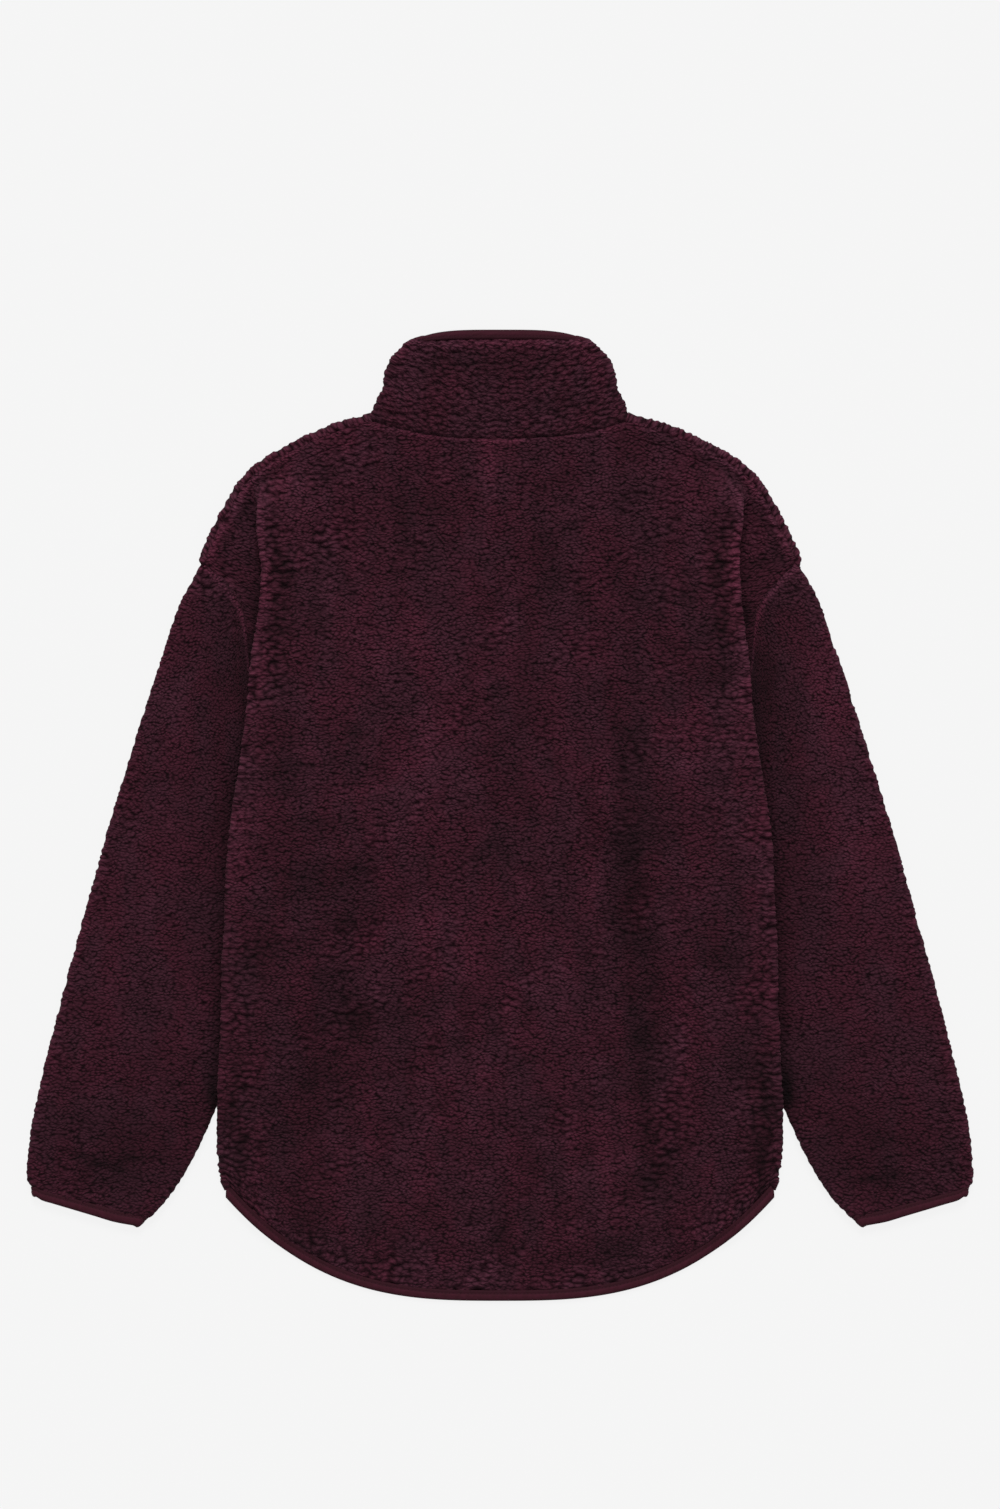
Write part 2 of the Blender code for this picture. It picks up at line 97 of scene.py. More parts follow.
# the fronts' rows: where each starts at the zip and where it ends, with the
# angle by which its end rolls over the shoulder
FRONT = [
    # yc,    ye,    k,   xe,    roll, over
    (494.0, 414.0, 1.8, 137.0, 180, 1.0),
    (503.0, 422.0, 1.6, 166.0, 180, 1.0),
    (516.0, 440.0, 1.4, 206.0, 180, 1.0),
    (530.0, 460.0, 1.3, 241.0, 180, 1.0),
    (546.0, 480.0, 1.2, 262.0, 180, 1.0),
    (560.0, 512.0, 1.1, 281.0, 180, 1.0),
    (572.0, 540.0, 1.1, 295.0, 180, 1.0),
    (582.0, 553.0, 1.0, 300.5, 180, 0.6),
    (590.0, 560.5, 1.0, 302.0, 110, 0.0),
    (597.0, 567.5, 1.0, 299.5,  45, 0.0),
    (603.0, 573.0, 1.0, 290.5,   0, 0.0),
    (610.0, 580.0, 1.0, 276.5,   0, 0.0),
    (620.0, 598.0, 1.0, 261.0,   0, 0.0),
    (636.0, 622.0, 1.0, 253.5,   0, 0.0),
    (670.0, 664.0, 1.0, 249.5,   0, 0.0),
    (704.0, 702.0, 1.0, 234.0,   0, 0.0),
    (738.0, 738.0, 1.0, 203.0,   0, 0.0),
    (756.0, 756.0, 1.0, 178.0,   0, 0.0),
    (766.0, 766.0, 1.0, 156.0,   0, 0.0),
    (800.0, 800.0, 1.0, 131.0,   0, 0.0),
    (850.0, 850.0, 1.0, 154.5,   0, 0.0),
    (950.0, 950.0, 1.0, 194.5,   0, 0.0),
    (1040.0, 1040.0, 1.0, 230.5, 0, 0.0),
    (1110.0, 1100.0, 1.6, 252.5, 0, 0.0),
    (1160.0, 1136.0, 2.2, 260.5, 0, 0.0),
    (1195.0, 1162.0, 2.8, 263.5, 0, 0.0),
    (1218.0, 1183.0, 3.0, 265.0, 0, 0.0),
]
# armhole seam, from the shoulder tip to the underarm
ARMHOLE = [
    # u,    x,   y
    (0.00, 301, 566),
    (0.10, 278, 581),
    (0.20, 262, 599),
    (0.30, 254, 622),
    (0.45, 250, 664),
    (0.60, 235, 702),
    (0.78, 204, 738),
    (1.00, 166, 784),
]
# sleeve rows: outer edge, inner edge, and how much of the armhole's bend is left
SLEEVE = [
    # xo,   yo,   xi,   yi,  bend
    (301,  566,  166,  784, 1.00),
    (320,  599,  167,  795, 0.62),
    (336,  645,  170,  811, 0.25),
    (362,  725,  179,  843, 0.00),
    (391.5, 820, 196,  890, 0.00),
    (418,  915,  226,  966, 0.00),
    (443.5, 1010, 257, 1044, 0.00),
    (463,  1090, 287, 1116, 0.00),
    (473,  1142, 313, 1170, 0.00),
    (475.5, 1178, 336, 1204, 0.00),
    (472,  1188, 351, 1219, 0.00),
]
CUFF = [
    # xo,   yo,    xi,   yi
    (470.5, 1190.0, 354.0, 1220.8),
    (469.5, 1198.5, 363.0, 1230.2),
]
# collar rows from the neck seam up: side fold, centre back and centre front
COLLAR = [
    # xp,    yp,   yb,    yf,   kb,  zb
    (131.5, 417.5, 437.4, 492.0, 2.2, 0.0082),
    (125.0, 399.0, 418.0, 472.0, 2.2, 0.0098),
    (118.0, 387.0, 398.0, 451.0, 2.4, 0.0106),
    (114.5, 374.0, 378.0, 430.0, 2.6, 0.0104),
    (108.0, 360.0, 358.0, 410.0, 3.0, 0.0094),
    (97.0, 346.0, 338.0, 391.0, 4.0, 0.0080),
]
# the zip, on the underside
CHAIN_HALF = 0.0026
CHAIN_Z = (0.0030, 0.0044)
ZTAPE_HALF = 0.0140
ZTAPE_Z = (0.0047, 0.0054)
ZIP_TOP = 417.0
ZIP_END = 1227.0
SLIDER_Y = 408.0       # middle of the slider
SLIDER = (0.0080, 0.0100, 0.0022)
PIN_Z = 0.0019
PIN_R = 0.0006
EYE_R = 0.0009
BARREL_R = 0.0015
TAB_L = 0.022
TAB_W = 0.0056


# ---------------------------------------------------------------- helpers
def mix(a, b, t):
    return a + (b - a) * t


def smooth(t):
    t = max(0.0, min(1.0, t))
    return t * t * (3 - 2 * t)


def place(x, y, z):
    """drafting x, y and a height in metres, to the jacket's frame"""
    return (x * U, (DATUM - y) * U, z)


def front_hem(x):
    """drafting y of the fronts' lower edge, binding included"""
    return 1228.0 - 36.0 * (abs(x) / 278.0) ** 3


def back_hem(x):
    """drafting y of the back's lower edge, binding included"""
    return 1303.0 - 108.0 * (abs(x) / 278.0) ** 2.95


def rest_height(x, y):
    """the back's middle where it lies on the fronts or, past their hem,
    on the surface"""
    over = L2 + (CENTRE - L2) * math.exp(-(x / 34.0) ** 2)
    return mix(over, L1 + 0.0002, smooth((y - front_hem(x) - 8.0) / 34.0))


def arc(s, z, heading, angle, length, n):
    """n points of a bend that starts at (s, z) and turns by angle"""
    out = []
    for i in range(1, n + 1):
        a = angle * i / n
        if abs(a) < 1e-6:
            out.append((s + math.cos(heading) * length * i / n,
                        z + math.sin(heading) * length * i / n))
        else:
            r = length / angle
            out.append((s + r * (math.sin(heading + a) - math.sin(heading)),
                        z - r * (math.cos(heading + a) - math.cos(heading))))
    return out, heading + angle


def back_row(row, low, n=(3, 3, 1, 4, 1, 4, 1)):
    """one row of the back, from the centre line out, as (x, y, z)"""
    if low:
        yc, ye, k, xf, xi, xs, ze, zs = row
        a1 = 180.0
    else:
        yc, ye, k, xf, a1, xi, xs, a2 = row
    turn = -math.radians(a1)
    bend1, head = arc(0.0, 0.0, 0.0, turn, TURN, n[3])
    reach = max([0.0] + [p[0] for p in bend1])
    full = smooth((a1 - 60.0) / 100.0)
    s0 = xf * U - mix(TURN, reach + CLOTH / 2, full)
    # the cloth that runs back in under the turned edge
    inner = xi * U + LAP / 2 + CLOTH / 2
    run = max(0.0008, (s0 + bend1[-1][0] - inner) * full)
    pts = list(bend1)
    s, z = pts[-1]
    for i in range(1, n[4] + 1):
        pts.append((s + math.cos(head) * run * i / n[4],
                    z + math.sin(head) * run * i / n[4]))
    s, z = pts[-1]
    if low:
        # down to the side seam, level with the fronts
        drop = ze + z - zs
        m = n[5] + n[6]
        for i in range(1, m + 1):
            t = i / m
            pts.append((mix(s, xs * U - s0, t), z - drop * smooth(t)))
        edge = ze
    else:
        bend2, head = arc(s, z, head, math.radians(a2), TURN, n[5])
        pts += bend2
        s, z = pts[-1]
        wing = max(0.0006, xs * U - s0 - s)
        for i in range(1, n[6] + 1):
            pts.append((s + math.cos(head) * wing * i / n[6],
                        z + math.sin(head) * wing * i / n[6]))
        edge = L2 - z if a2 >= a1 else L4
    # the main stretch, which rises over what lies under its turned edge
    x1 = min(xi if not low else xs, xf - 12) - 10.0
    if not low:
        x1 = min(x1, s0 / U - 8.0)
    x0 = x1 - 56.0
    xs_main = [x0 * i / n[0] for i in range(n[0])]
    xs_main += [mix(x0, x1, i / n[1]) for i in range(n[1])]
    xs_main += [mix(x1, s0 / U, i / n[2]) for i in range(n[2] + 1)]
    end = s0 / U if low else xs
    out = []

    def row_y(x):
        return mix(yc, ye, min(1.0, x / end) ** k)
    for x in xs_main:
        y = row_y(x)
        base = rest_height(x, y)
        out.append((x, y, mix(base, edge, smooth((x - x0) / (x1 - x0)))))
    for s, z in pts:
        x = (s0 + s) / U
        out.append((x, ye if low else row_y(x), edge + z))
    return [place(*p) for p in out]


def front_row(i, n=(3, 4, 1)):
    """one row of a front, from the zip out, as (x, y, z)"""
    yc, ye, k, xe, roll, over = FRONT[i]
    angle = math.radians(roll)
    if roll:
        a = FRONT[max(0, i - 1)]
        b = FRONT[i + 1]
        tx, ty = b[3] - a[3], b[1] - a[1]
        size = math.hypot(tx, ty)
        nx, ny = ty / size, -tx / size
        back = max(0.0006, (ROLL * U - LAP / 2 - CLOTH / 2) * over)
    else:
        nx, ny = 1.0, 0.0
        back = 0.0010
    bend, head = arc(0.0, 0.0, 0.0, angle, TURN, n[1])
    pts = list(bend)
    s, z = pts[-1]
    for j in range(1, n[2] + 1):
        pts.append((s + math.cos(head) * back * j / n[2],
                    z + math.sin(head) * back * j / n[2]))
    reach = max(p[0] for p in pts) + mix(SEAM / 2, CLOTH / 2, min(1.0, roll / 90.0))
    bx, by = xe - nx * reach / U, ye - ny * reach / U
    out = []
    for j in range(n[0] + 1):
        t = j / n[0]
        x = mix(ZIP_EDGE, bx, t)
        out.append((x, mix(yc, by, t ** k), L1))
    for s, z in pts:
        out.append((bx + nx * s / U, by + ny * s / U, L1 + z))
    return [place(*p) for p in out]


def between(table, t, col):
    for a, b in zip(table, table[1:]):
        if t <= b[0]:
            return mix(a[col], b[col], (t - a[0]) / (b[0] - a[0]))
    return table[-1][col]


def tube_row(xo, yo, xi, yi, out_n, in_n, bend=0.0, gap=(0.0, 0.0), wide=CLOTH,
             low=L1, high=L2, n=4):
    """one ring of a flattened tube, from its outer edge over the top to its
    inner edge and back below"""
    size = math.hypot(xi - xo, yi - yo)
    ex, ey = (xi - xo) / size, (yi - yo) / size
    r = (high - low) / 2
    pad = (wide / 2 + r) / U
    ring = []

    stations = [0.0] + [row[0] for row in ARMHOLE[1:-1]] + [1.0]

    def flat(i):
        u = stations[i]
        if u in (0.0, 1.0):
            x, y, nx, ny = (xo, yo) + out_n if u == 0.0 else (xi, yi) + in_n
            return (x - nx * pad + gap[0], y - ny * pad + gap[1])
        d = u * size
        dx = between(ARMHOLE, u, 1) - mix(ARMHOLE[0][1], ARMHOLE[-1][1], u)
        dy = between(ARMHOLE, u, 2) - mix(ARMHOLE[0][2], ARMHOLE[-1][2], u)
        return (xo + ex * d + dx * bend + gap[0], yo + ey * d + dy * bend + gap[1])
    for i in range(len(stations) - 1):
        ring.append(flat(i) + (high,))
    x, y = flat(-1)
    for i in range(n):
        a = math.pi * i / n
        ring.append((x + in_n[0] * r * math.sin(a) / U, y + in_n[1] * r * math.sin(a) / U,
                     (high + low) / 2 + r * math.cos(a)))
    for i in range(len(stations) - 1):
        ring.append(flat(-1 - i) + (low,))
    x, y = flat(0)
    for i in range(n):
        a = math.pi * i / n
        ring.append((x + out_n[0] * r * math.sin(a) / U, y + out_n[1] * r * math.sin(a) / U,
                     (high + low) / 2 - r * math.cos(a)))
    return [place(*p) for p in ring]


def edge_normals(table, col, side):
    """for each row, the direction out of the edge whose x, y start at col"""
    out = []
    for i in range(len(table)):
        a, b = table[max(0, i - 1)], table[min(len(table) - 1, i + 1)]
        tx, ty = b[col] - a[col], b[col + 1] - a[col + 1]
        size = math.hypot(tx, ty)
        out.append((side * ty / size, -side * tx / size))
    return out


def tube_rows(table, **more):
    outer, inner = edge_normals(table, 0, 1), edge_normals(table, 2, -1)
    return [tube_row(*row[:4], outer[i], inner[i], *row[4:],
                     gap=(1.1, 0.9) if row[4:] == (1.0,) else (0, 0), **more)
            for i, row in enumerate(table)]


def collar_row(row, n=(6, 4, 4), up=0.0, narrow=1.0):
    """half a ring of the collar, from the centre back round its side fold to
    the zip"""
    xp, yp, yb, yf, kb, zb = row
    side = L2 + 0.0006
    r = (side - L1) / 2
    out = []
    x1 = (xp * U - (CLOTH / 2 + r)) / U
    for i in range(n[0] + 1):
        x = x1 * i / n[0]
        z = mix(zb, side, smooth(x / x1) ** 1.4)
        out.append((x * narrow, mix(yb, yp, (x / xp) ** kb) - up, z))
    for i in range(1, n[1]):
        a = math.pi * i / n[1]
        x = x1 + r * math.sin(a) / U
        out.append((x * narrow, mix(yb, yp, (min(x, xp) / xp) ** kb) - up,
                    (side + L1) / 2 + r * math.cos(a)))
    ys = mix(yb, yp, (x1 / xp) ** kb)
    for i in range(n[2] + 1):
        t = i / n[2]
        x = mix(x1 * narrow, ZIP_EDGE, t)
        out.append((x, mix(ys, yf, 1 - (1 - t) ** 1.8) - up, L1))
    return [place(*p) for p in out]


def hem_rows(curve, xa, ends, height, n=18):
    """a folded tape along a hem: inner edge, middle and outer edge"""
    rows = []
    for d, xb in zip((TAPE_W, TAPE_W / 2, 0.0), ends):
        row = []
        for i in range(n + 1):
            x = mix(xa, xb, i / n)
            slope = curve(x + 0.5) - curve(x - 0.5)
            size = math.hypot(1.0, slope)
            px = x + slope / size * d if i else xa      # towards the panel
            py = curve(x) - d / size
            row.append(place(px, py, height(px, py)))
        rows.append(row)
    return rows



# ---------------------------------------------------------------- fine grids
def pchip(t, v, q):
    """v, whose first axis goes with t, read at q on a monotone cubic"""
    t, v, q = (np.asarray(a, float) for a in (t, v, q))
    h = np.diff(t)
    shape = (-1,) + (1,) * (v.ndim - 1)
    d = np.diff(v, axis=0) / h.reshape(shape)
    m = np.zeros_like(v)
    w1, w2 = 2 * h[1:] + h[:-1], h[1:] + 2 * h[:-1]
    same = d[:-1] * d[1:] > 0
    with np.errstate(divide="ignore", invalid="ignore"):
        inner = (w1 + w2).reshape(shape) / (w1.reshape(shape) / d[:-1] + w2.reshape(shape) / d[1:])
    m[1:-1] = np.where(same, inner, 0.0)
    m[0], m[-1] = d[0], d[-1]
    i = np.clip(np.searchsorted(t, q, side="right") - 1, 0, len(t) - 2)
    s = ((q - t[i]) / h[i]).reshape(shape)
    hh = h[i].reshape(shape)
    return ((1 + 2 * s) * (1 - s) ** 2 * v[i] + s * (1 - s) ** 2 * hh * m[i]
            + s * s * (3 - 2 * s) * v[i + 1] + s * s * (s - 1) * hh * m[i + 1])


def both_halves(grid):
    """a half that starts on the centre line, with its mirror image before it"""
    other = grid[:, :0:-1].copy()
    other[..., 0] *= -1
    return np.concatenate([other, grid], axis=1)


def normals_of(grid, ring=False):
    if ring:
        du = np.roll(grid, -1, 1) - np.roll(grid, 1, 1)
    else:
        du = np.gradient(grid, axis=1)
    n = np.cross(du, np.gradient(grid, axis=0))
    return n / np.maximum(np.linalg.norm(n, axis=2, keepdims=True), 1e-12)


def run_length(grid, axis):
    """distance along the grid's lines from their first point"""
    step = np.linalg.norm(np.diff(grid, axis=axis), axis=2)
    zero = np.zeros_like(np.take(step, [0], axis=axis))
    return np.concatenate([zero, np.cumsum(step, axis=axis)], axis=axis)


def reach(grid, first=0.0, last=0.0, start=0.0, end=0.0):
    """the grid with one more row or column at its sewn edges, that far out,
    so that the cloth runs into its seam"""
    def more(a, b, far):
        step = a - b
        return a + step / np.maximum(np.linalg.norm(step, axis=-1, keepdims=True), 1e-9) * far
    if np.any(first):
        grid = np.concatenate([more(grid[:1], grid[1:2], first), grid])
    if np.any(last):
        grid = np.concatenate([grid, more(grid[-1:], grid[-2:-1], last)])
    if np.any(start):
        grid = np.concatenate([more(grid[:, :1], grid[:, 1:2], start), grid], axis=1)
    if np.any(end):
        grid = np.concatenate([grid, more(grid[:, -1:], grid[:, -2:-1], end)], axis=1)
    return grid


def draft_x(p):
    return p[..., 0] / U


def draft_y(p):
    return DATUM - p[..., 1] / U


def fade(t):
    t = np.clip(t, 0.0, 1.0)
    return t * t * (3 - 2 * t)


def waves(x, y, seed, short, long, count=14):
    """a smooth random field of about unit size, with waves short to long"""
    rng = np.random.default_rng(seed)
    out = np.zeros_like(x)
    for _ in range(count):
        size = short * (long / short) ** rng.random()
        a, phase = rng.random() * math.pi, rng.random() * 2 * math.pi
        out = out + np.sin((x * math.cos(a) + y * math.sin(a)) * 2 * math.pi / size + phase)
    return out / math.sqrt(count / 2)


# ---------------------------------------------------------------- form
# drafting units, x to the right of the centre line. A positive depth in mm is
# a soft trough, a negative one a ridge.
BODY_CREASES = [
    # x0,   y0,   x1,   y1, width, depth
    (246, 474, 226, 497, 5, 1.1),
    (228, 494, 214, 520, 9, 0.5),
    (-246, 488, -232, 512, 7, 0.6),
    (140, 725, 130, 905, 22, 0.9),
    (128, 890, 150, 1060, 18, 0.8),
    (152, 1035, 160, 1120, 7, 1.0),
    (158, 1110, 178, 1215, 8, 1.2),
    (186, 1130, 172, 1205, 6, 0.7),
    (-180, 905, -155, 1050, 20, 0.6),
    (-96, 640, -76, 860, 24, -0.6),
    (-8, 452, -6, 524, 8, -0.6),
    (-36, 560, -30, 700, 16, 0.4),
    (60, 560, 52, 720, 18, -0.4),
    (-232, 640, -188, 745, 12, 0.6),
    (232, 640, 196, 735, 12, 0.6),
    (-60, 1150, -86, 1275, 14, 0.5),
    (70, 1180, 92, 1286, 12, 0.5),
    (-210, 1040, -226, 1150, 9, 0.6),
    (218, 1010, 232, 1120, 8, 0.6),
    (-10, 900, 6, 1120, 26, -0.5),
]
SLEEVE_CREASES = {
    "left": [
        (-298, 1040, -330, 1170, 14, 0.6),
        (-447, 1148, -408, 1162, 4, 1.0),
        (-370, 1163, -405, 1175, 4, 1.1),
        (-412, 1160, -404, 1182, 5, 0.9),
        (-390, 700, -352, 860, 20, 0.5),
        (-400, 850, -378, 930, 9, 0.6),
        (-300, 640, -330, 760, 18, -0.5),
        (-440, 1010, -400, 1120, 16, 0.5),
        (-420, 1185, -395, 1199, 5, 0.6),
    ],
    "right": [
        (302, 1050, 338, 1180, 14, 0.6),
        (390, 1160, 366, 1187, 4, 1.2),
        (352, 1186, 364, 1194, 4, 1.0),
        (398, 1150, 420, 1138, 5, 0.7),
        (384, 730, 356, 850, 20, 0.5),
        (402, 860, 440, 980, 14, 0.5),
        (310, 650, 336, 780, 18, -0.5),
        (440, 1150, 455, 1185, 6, 0.6),
    ],
}
COLLAR_CREASES = [
    (-104, 372, -84, 398, 6, 0.6),
    (108, 366, 92, 400, 6, 0.6),
    (-30, 350, 22, 352, 12, -0.4),
    (-96, 404, -20, 418, 8, 0.4),
    (100, 402, 30, 416, 8, 0.4),
]
# on the side it lies on, where the cloth bears on the surface
UNDER_CREASES = [
    (34, 560, 60, 700, 9, 0.8),
    (120, 640, 96, 820, 12, 0.7),
    (200, 560, 150, 680, 7, 0.9),
    (60, 900, 84, 1080, 12, 0.8),
    (170, 960, 196, 1130, 9, 0.7),
    (230, 1080, 214, 1190, 6, 0.8),
    (330, 720, 300, 860, 10, 0.8),
    (380, 900, 350, 1040, 12, 0.7),
    (430, 1100, 392, 1170, 6, 0.9),
    (320, 1060, 350, 1180, 7, 0.8),
]
# where the pile is lighter or darker: partly the nap's own tone, partly painted light and shade on the rolls,
# folds and creases
PATCHES = [
    # x,    y,   rx,  ry, tone and painted light
    (-11,  463,   8,  30, 0.34),
    (-14,  542,   8,  44, 0.10),
    (-230, 500,  26,  36, 0.11),
    (236,  505,  12,  34, 0.10),
    (-206, 478,  26,  22, 0.08),
    (-140, 448,  56,  16, 0.10),
    (176,  478,  30,  26, 0.10),
    (-98,  640,  46,  36, 0.15),
    (-72,  752,  32,  50, 0.19),
    (-102, 838,  24,  28, 0.14),
    (6,    620,  18,   9, 0.12),
    (62,   650,  38,  22, 0.07),
    (-70,  928,  24,  30, 0.19),
    (-122, 976,  22,  26, 0.14),
    (-38,  968,  26,  22, 0.12),
    (92,   882,  13,  17, 0.22),
    (170,  758,  22,  28, 0.19),
    (204,  725,  14,  30, 0.10),
    (-182, 740,  36,  44, 0.08),
    (-200, 520,  28,  34, 0.12),
    (180,  1048, 11,  42, 0.18),
    (52,   984,  24,  40, 0.10),
    (-82,  1180, 26,  22, 0.12),
    (-16,  1078, 28,  20, 0.08),
    (108,  1168, 16,  30, 0.08),
    (-30,  1256, 40,  14, 0.08),
    (130,  872,  19, 100, -0.25),
    (130,  742,  16,  40, -0.15),
    (146,  1035, 18,  84, -0.19),
    (155,  1176, 17,  44, -0.20),
    (122,  1258, 30,  18, -0.12),
    (-180, 880,  28,  52, -0.15),
    (-152, 1012, 52,  42, -0.20),
    (-236, 948,  15,  24, -0.20),
    (-178, 1084, 38,  34, -0.13),
    (-200, 1192, 34,  50, -0.10),
    (220,  960,  17,  17, -0.16),
    (236,  1062, 16,  34, -0.19),
    (0,    1230, 15,  17, -0.16),
    (30,   702,  28,  54, -0.06),
    (-24,  860,  38,  22, -0.07),
    (-150, 742,  11,  28, -0.12),
    (-170, 470,  14,   9, -0.12),
    (52,   560,  38,  36, -0.06),
    (200,  650,  28,  54, -0.07),
    (140,  602,  46,  26, -0.06),
    (-72,  506,  56,  34, -0.05),
    (-22,  366,  76,  13, -0.12),
    (64,   400,  38,  11, -0.08),
    (-100, 374,  15,  30, 0.17),
    (-84,  350,  16,  12, 0.12),
    (-6,   358,  50,  12, -0.06),
    (100,  374,  15,  30, 0.17),
    (86,   350,  14,  12, 0.10),
    (-384, 1154, 72,  50, -0.17),
    (-437, 1150, 10,  3,  -0.20),
    (-420, 1157, 10,  3,  -0.24),
    (-402, 1165, 11,  3,  -0.22),
    (-384, 1170, 9,   4,  -0.16),
    (-368, 1159, 10,  3,  -0.18),
    (-410, 1148, 14,  5,  0.16),
    (-352, 1172, 14,  6,  0.10),
    (-238, 785,  20,  70, -0.15),
    (384,  1152, 70,  50, -0.17),
    (372,  1180, 16,  4,  -0.24),
    (396,  1174, 10,  5,  -0.18),
    (416,  1166, 14,  6,  0.14),
    (384,  1188, 18,  4,  -0.14),
    (-324, 700,  20,  60, 0.14),
    (-350, 862,  32,  54, 0.06),
    (-392, 962,  28,  38, 0.06),
    (330,  700,  24,  60, 0.26),
    (358,  830,  28,  60, 0.17),
    (-330, 1080, 40,  60, -0.06),
    (-290, 1088, 7,   22, -0.20),
    (290,  1092, 8,   22, -0.22),
    (268,  684,  9,   40, -0.16),
    (330,  1080, 40,  60, -0.06),
]
# where the pile stands in round curls rather than short waves
CURLY = [
    # x,    y,    rx,  ry,  how much
    (170,   1120, 22,  90,  0.6),
    (-165,  540,  45,  60,  0.4),
    (-60,   560,  70,  40,  -0.2),
    (160,   560,  40,  50,  0.3),
    (-150,  980,  50,  60,  0.3),
    (40,    760,  60,  80,  -0.2),
    (140,   860,  24,  100, 0.3),
    (-280,  560,  30,  40,  0.4),
    (280,   560,  30,  40,  0.4),
    (-430,  1120, 30,  50,  0.3),
    (430,   1120, 30,  50,  0.3),
]


def creases(x, y, table, both=False):
    """depth in metres of the troughs and ridges at x, y"""
    out = np.zeros_like(x)
    for k, (x0, y0, x1, y1, width, depth) in enumerate(table):
        px = np.abs(x) if both else x
        dx, dy = x1 - x0, y1 - y0
        size = math.hypot(dx, dy)
        t = ((px - x0) * dx + (y - y0) * dy) / size ** 2
        off = ((px - x0) * dy - (y - y0) * dx) / size
        off = off + 0.10 * size * (np.sin(t * 2.6 + k) - math.sin(1.3 + k))   # not ruler straight
        ends = fade(t / 0.35) * fade((1 - t) / 0.35)
        out += depth * 0.001 * ends * np.exp(-(off / width) ** 2)
    return out


def patches(x, y, table):
    out = np.zeros_like(x)
    for px, py, rx, ry, tone_and_painted_light in table:
        out += tone_and_painted_light * np.exp(-((x - px) / rx) ** 2 - ((y - py) / ry) ** 2)
    return out


# ---------------------------------------------------------------- node helpers
class Net:
    """makes the same nodes in a material or in a geometry node tree"""

    def __init__(self, tree):
        self.tree = tree

    def node(self, kind, inputs=(), **props):
        n = self.tree.nodes.new(kind)
        for k, v in props.items():
            setattr(n, k, v)
        for k, v in dict(inputs).items():
            self.give(n.inputs[k], v)
        return n

    def give(self, socket, v):
        if isinstance(v, bpy.types.NodeSocket):
            self.tree.links.new(v, socket)
        elif v is not None:
            socket.default_value = v

    def math(self, op, a, b=None, c=None, clamp=False):
        n = self.node("ShaderNodeMath", operation=op, use_clamp=clamp)
        for s, v in zip(n.inputs, (a, b, c)):
            self.give(s, v)
        return n.outputs[0]

    def vec(self, op, a, b=None):
        n = self.node("ShaderNodeVectorMath", operation=op)
        self.give(n.inputs[0], a)
        if op == "SCALE":
            self.give(n.inputs["Scale"], b)
        elif b is not None:
            self.give(n.inputs[1], b)
        return n.outputs["Value" if op in ("LENGTH", "DISTANCE", "DOT_PRODUCT") else "Vector"]

    def noise(self, v, scale=1.0, detail=0.0, rough=0.5, colour=False):
        n = self.node("ShaderNodeTexNoise", noise_dimensions="3D",
                      inputs={"Vector": v, "Scale": scale, "Detail": detail, "Roughness": rough})
        return n.outputs["Color" if colour else 0]

    def cells(self, v):
        n = self.node("ShaderNodeTexVoronoi", voronoi_dimensions="2D", feature="SMOOTH_F1",
                      inputs={"Vector": v, "Scale": 1.0, "Randomness": 1.0, "Smoothness": 0.15})
        return n.outputs["Distance"]

    def ramp(self, v, a, b, lo=0.0, hi=1.0):
        n = self.node("ShaderNodeMapRange", interpolation_type="SMOOTHSTEP",
                      inputs={"Value": v, "From Min": a, "From Max": b, "To Min": lo, "To Max": hi})
        return n.outputs[0]

    def mix(self, t, a, b):
        n = self.node("ShaderNodeMix", data_type="RGBA")
        for k, v in (("Factor_Float", t), ("A_Color", a), ("B_Color", b)):
            self.give(next(s for s in n.inputs if s.identifier == k), v)
        return next(s for s in n.outputs if s.identifier == "Result_Color")


def tufts(net, q, wide, tall, middle, crack, lean):
    """tufts of this size in mm, 1 at their middles and 0 in the cracks, and
    the same with their tops leaning up the cloth"""
    v = net.vec("MULTIPLY", q, (1 / wide, 1 / tall, 0.0))
    even = net.ramp(net.cells(v), middle, crack, 1.0, 0.0)
    near = net.node("ShaderNodeTexVoronoi", voronoi_dimensions="2D", feature="F1",
                    inputs={"Vector": v, "Scale": 1.0, "Randomness": 1.0})
    off = net.vec("SUBTRACT", v, near.outputs["Position"])
    up = net.node("ShaderNodeSeparateXYZ", inputs={"Vector": off}).outputs[1]
    return even, net.math("MULTIPLY_ADD", up, lean, even)


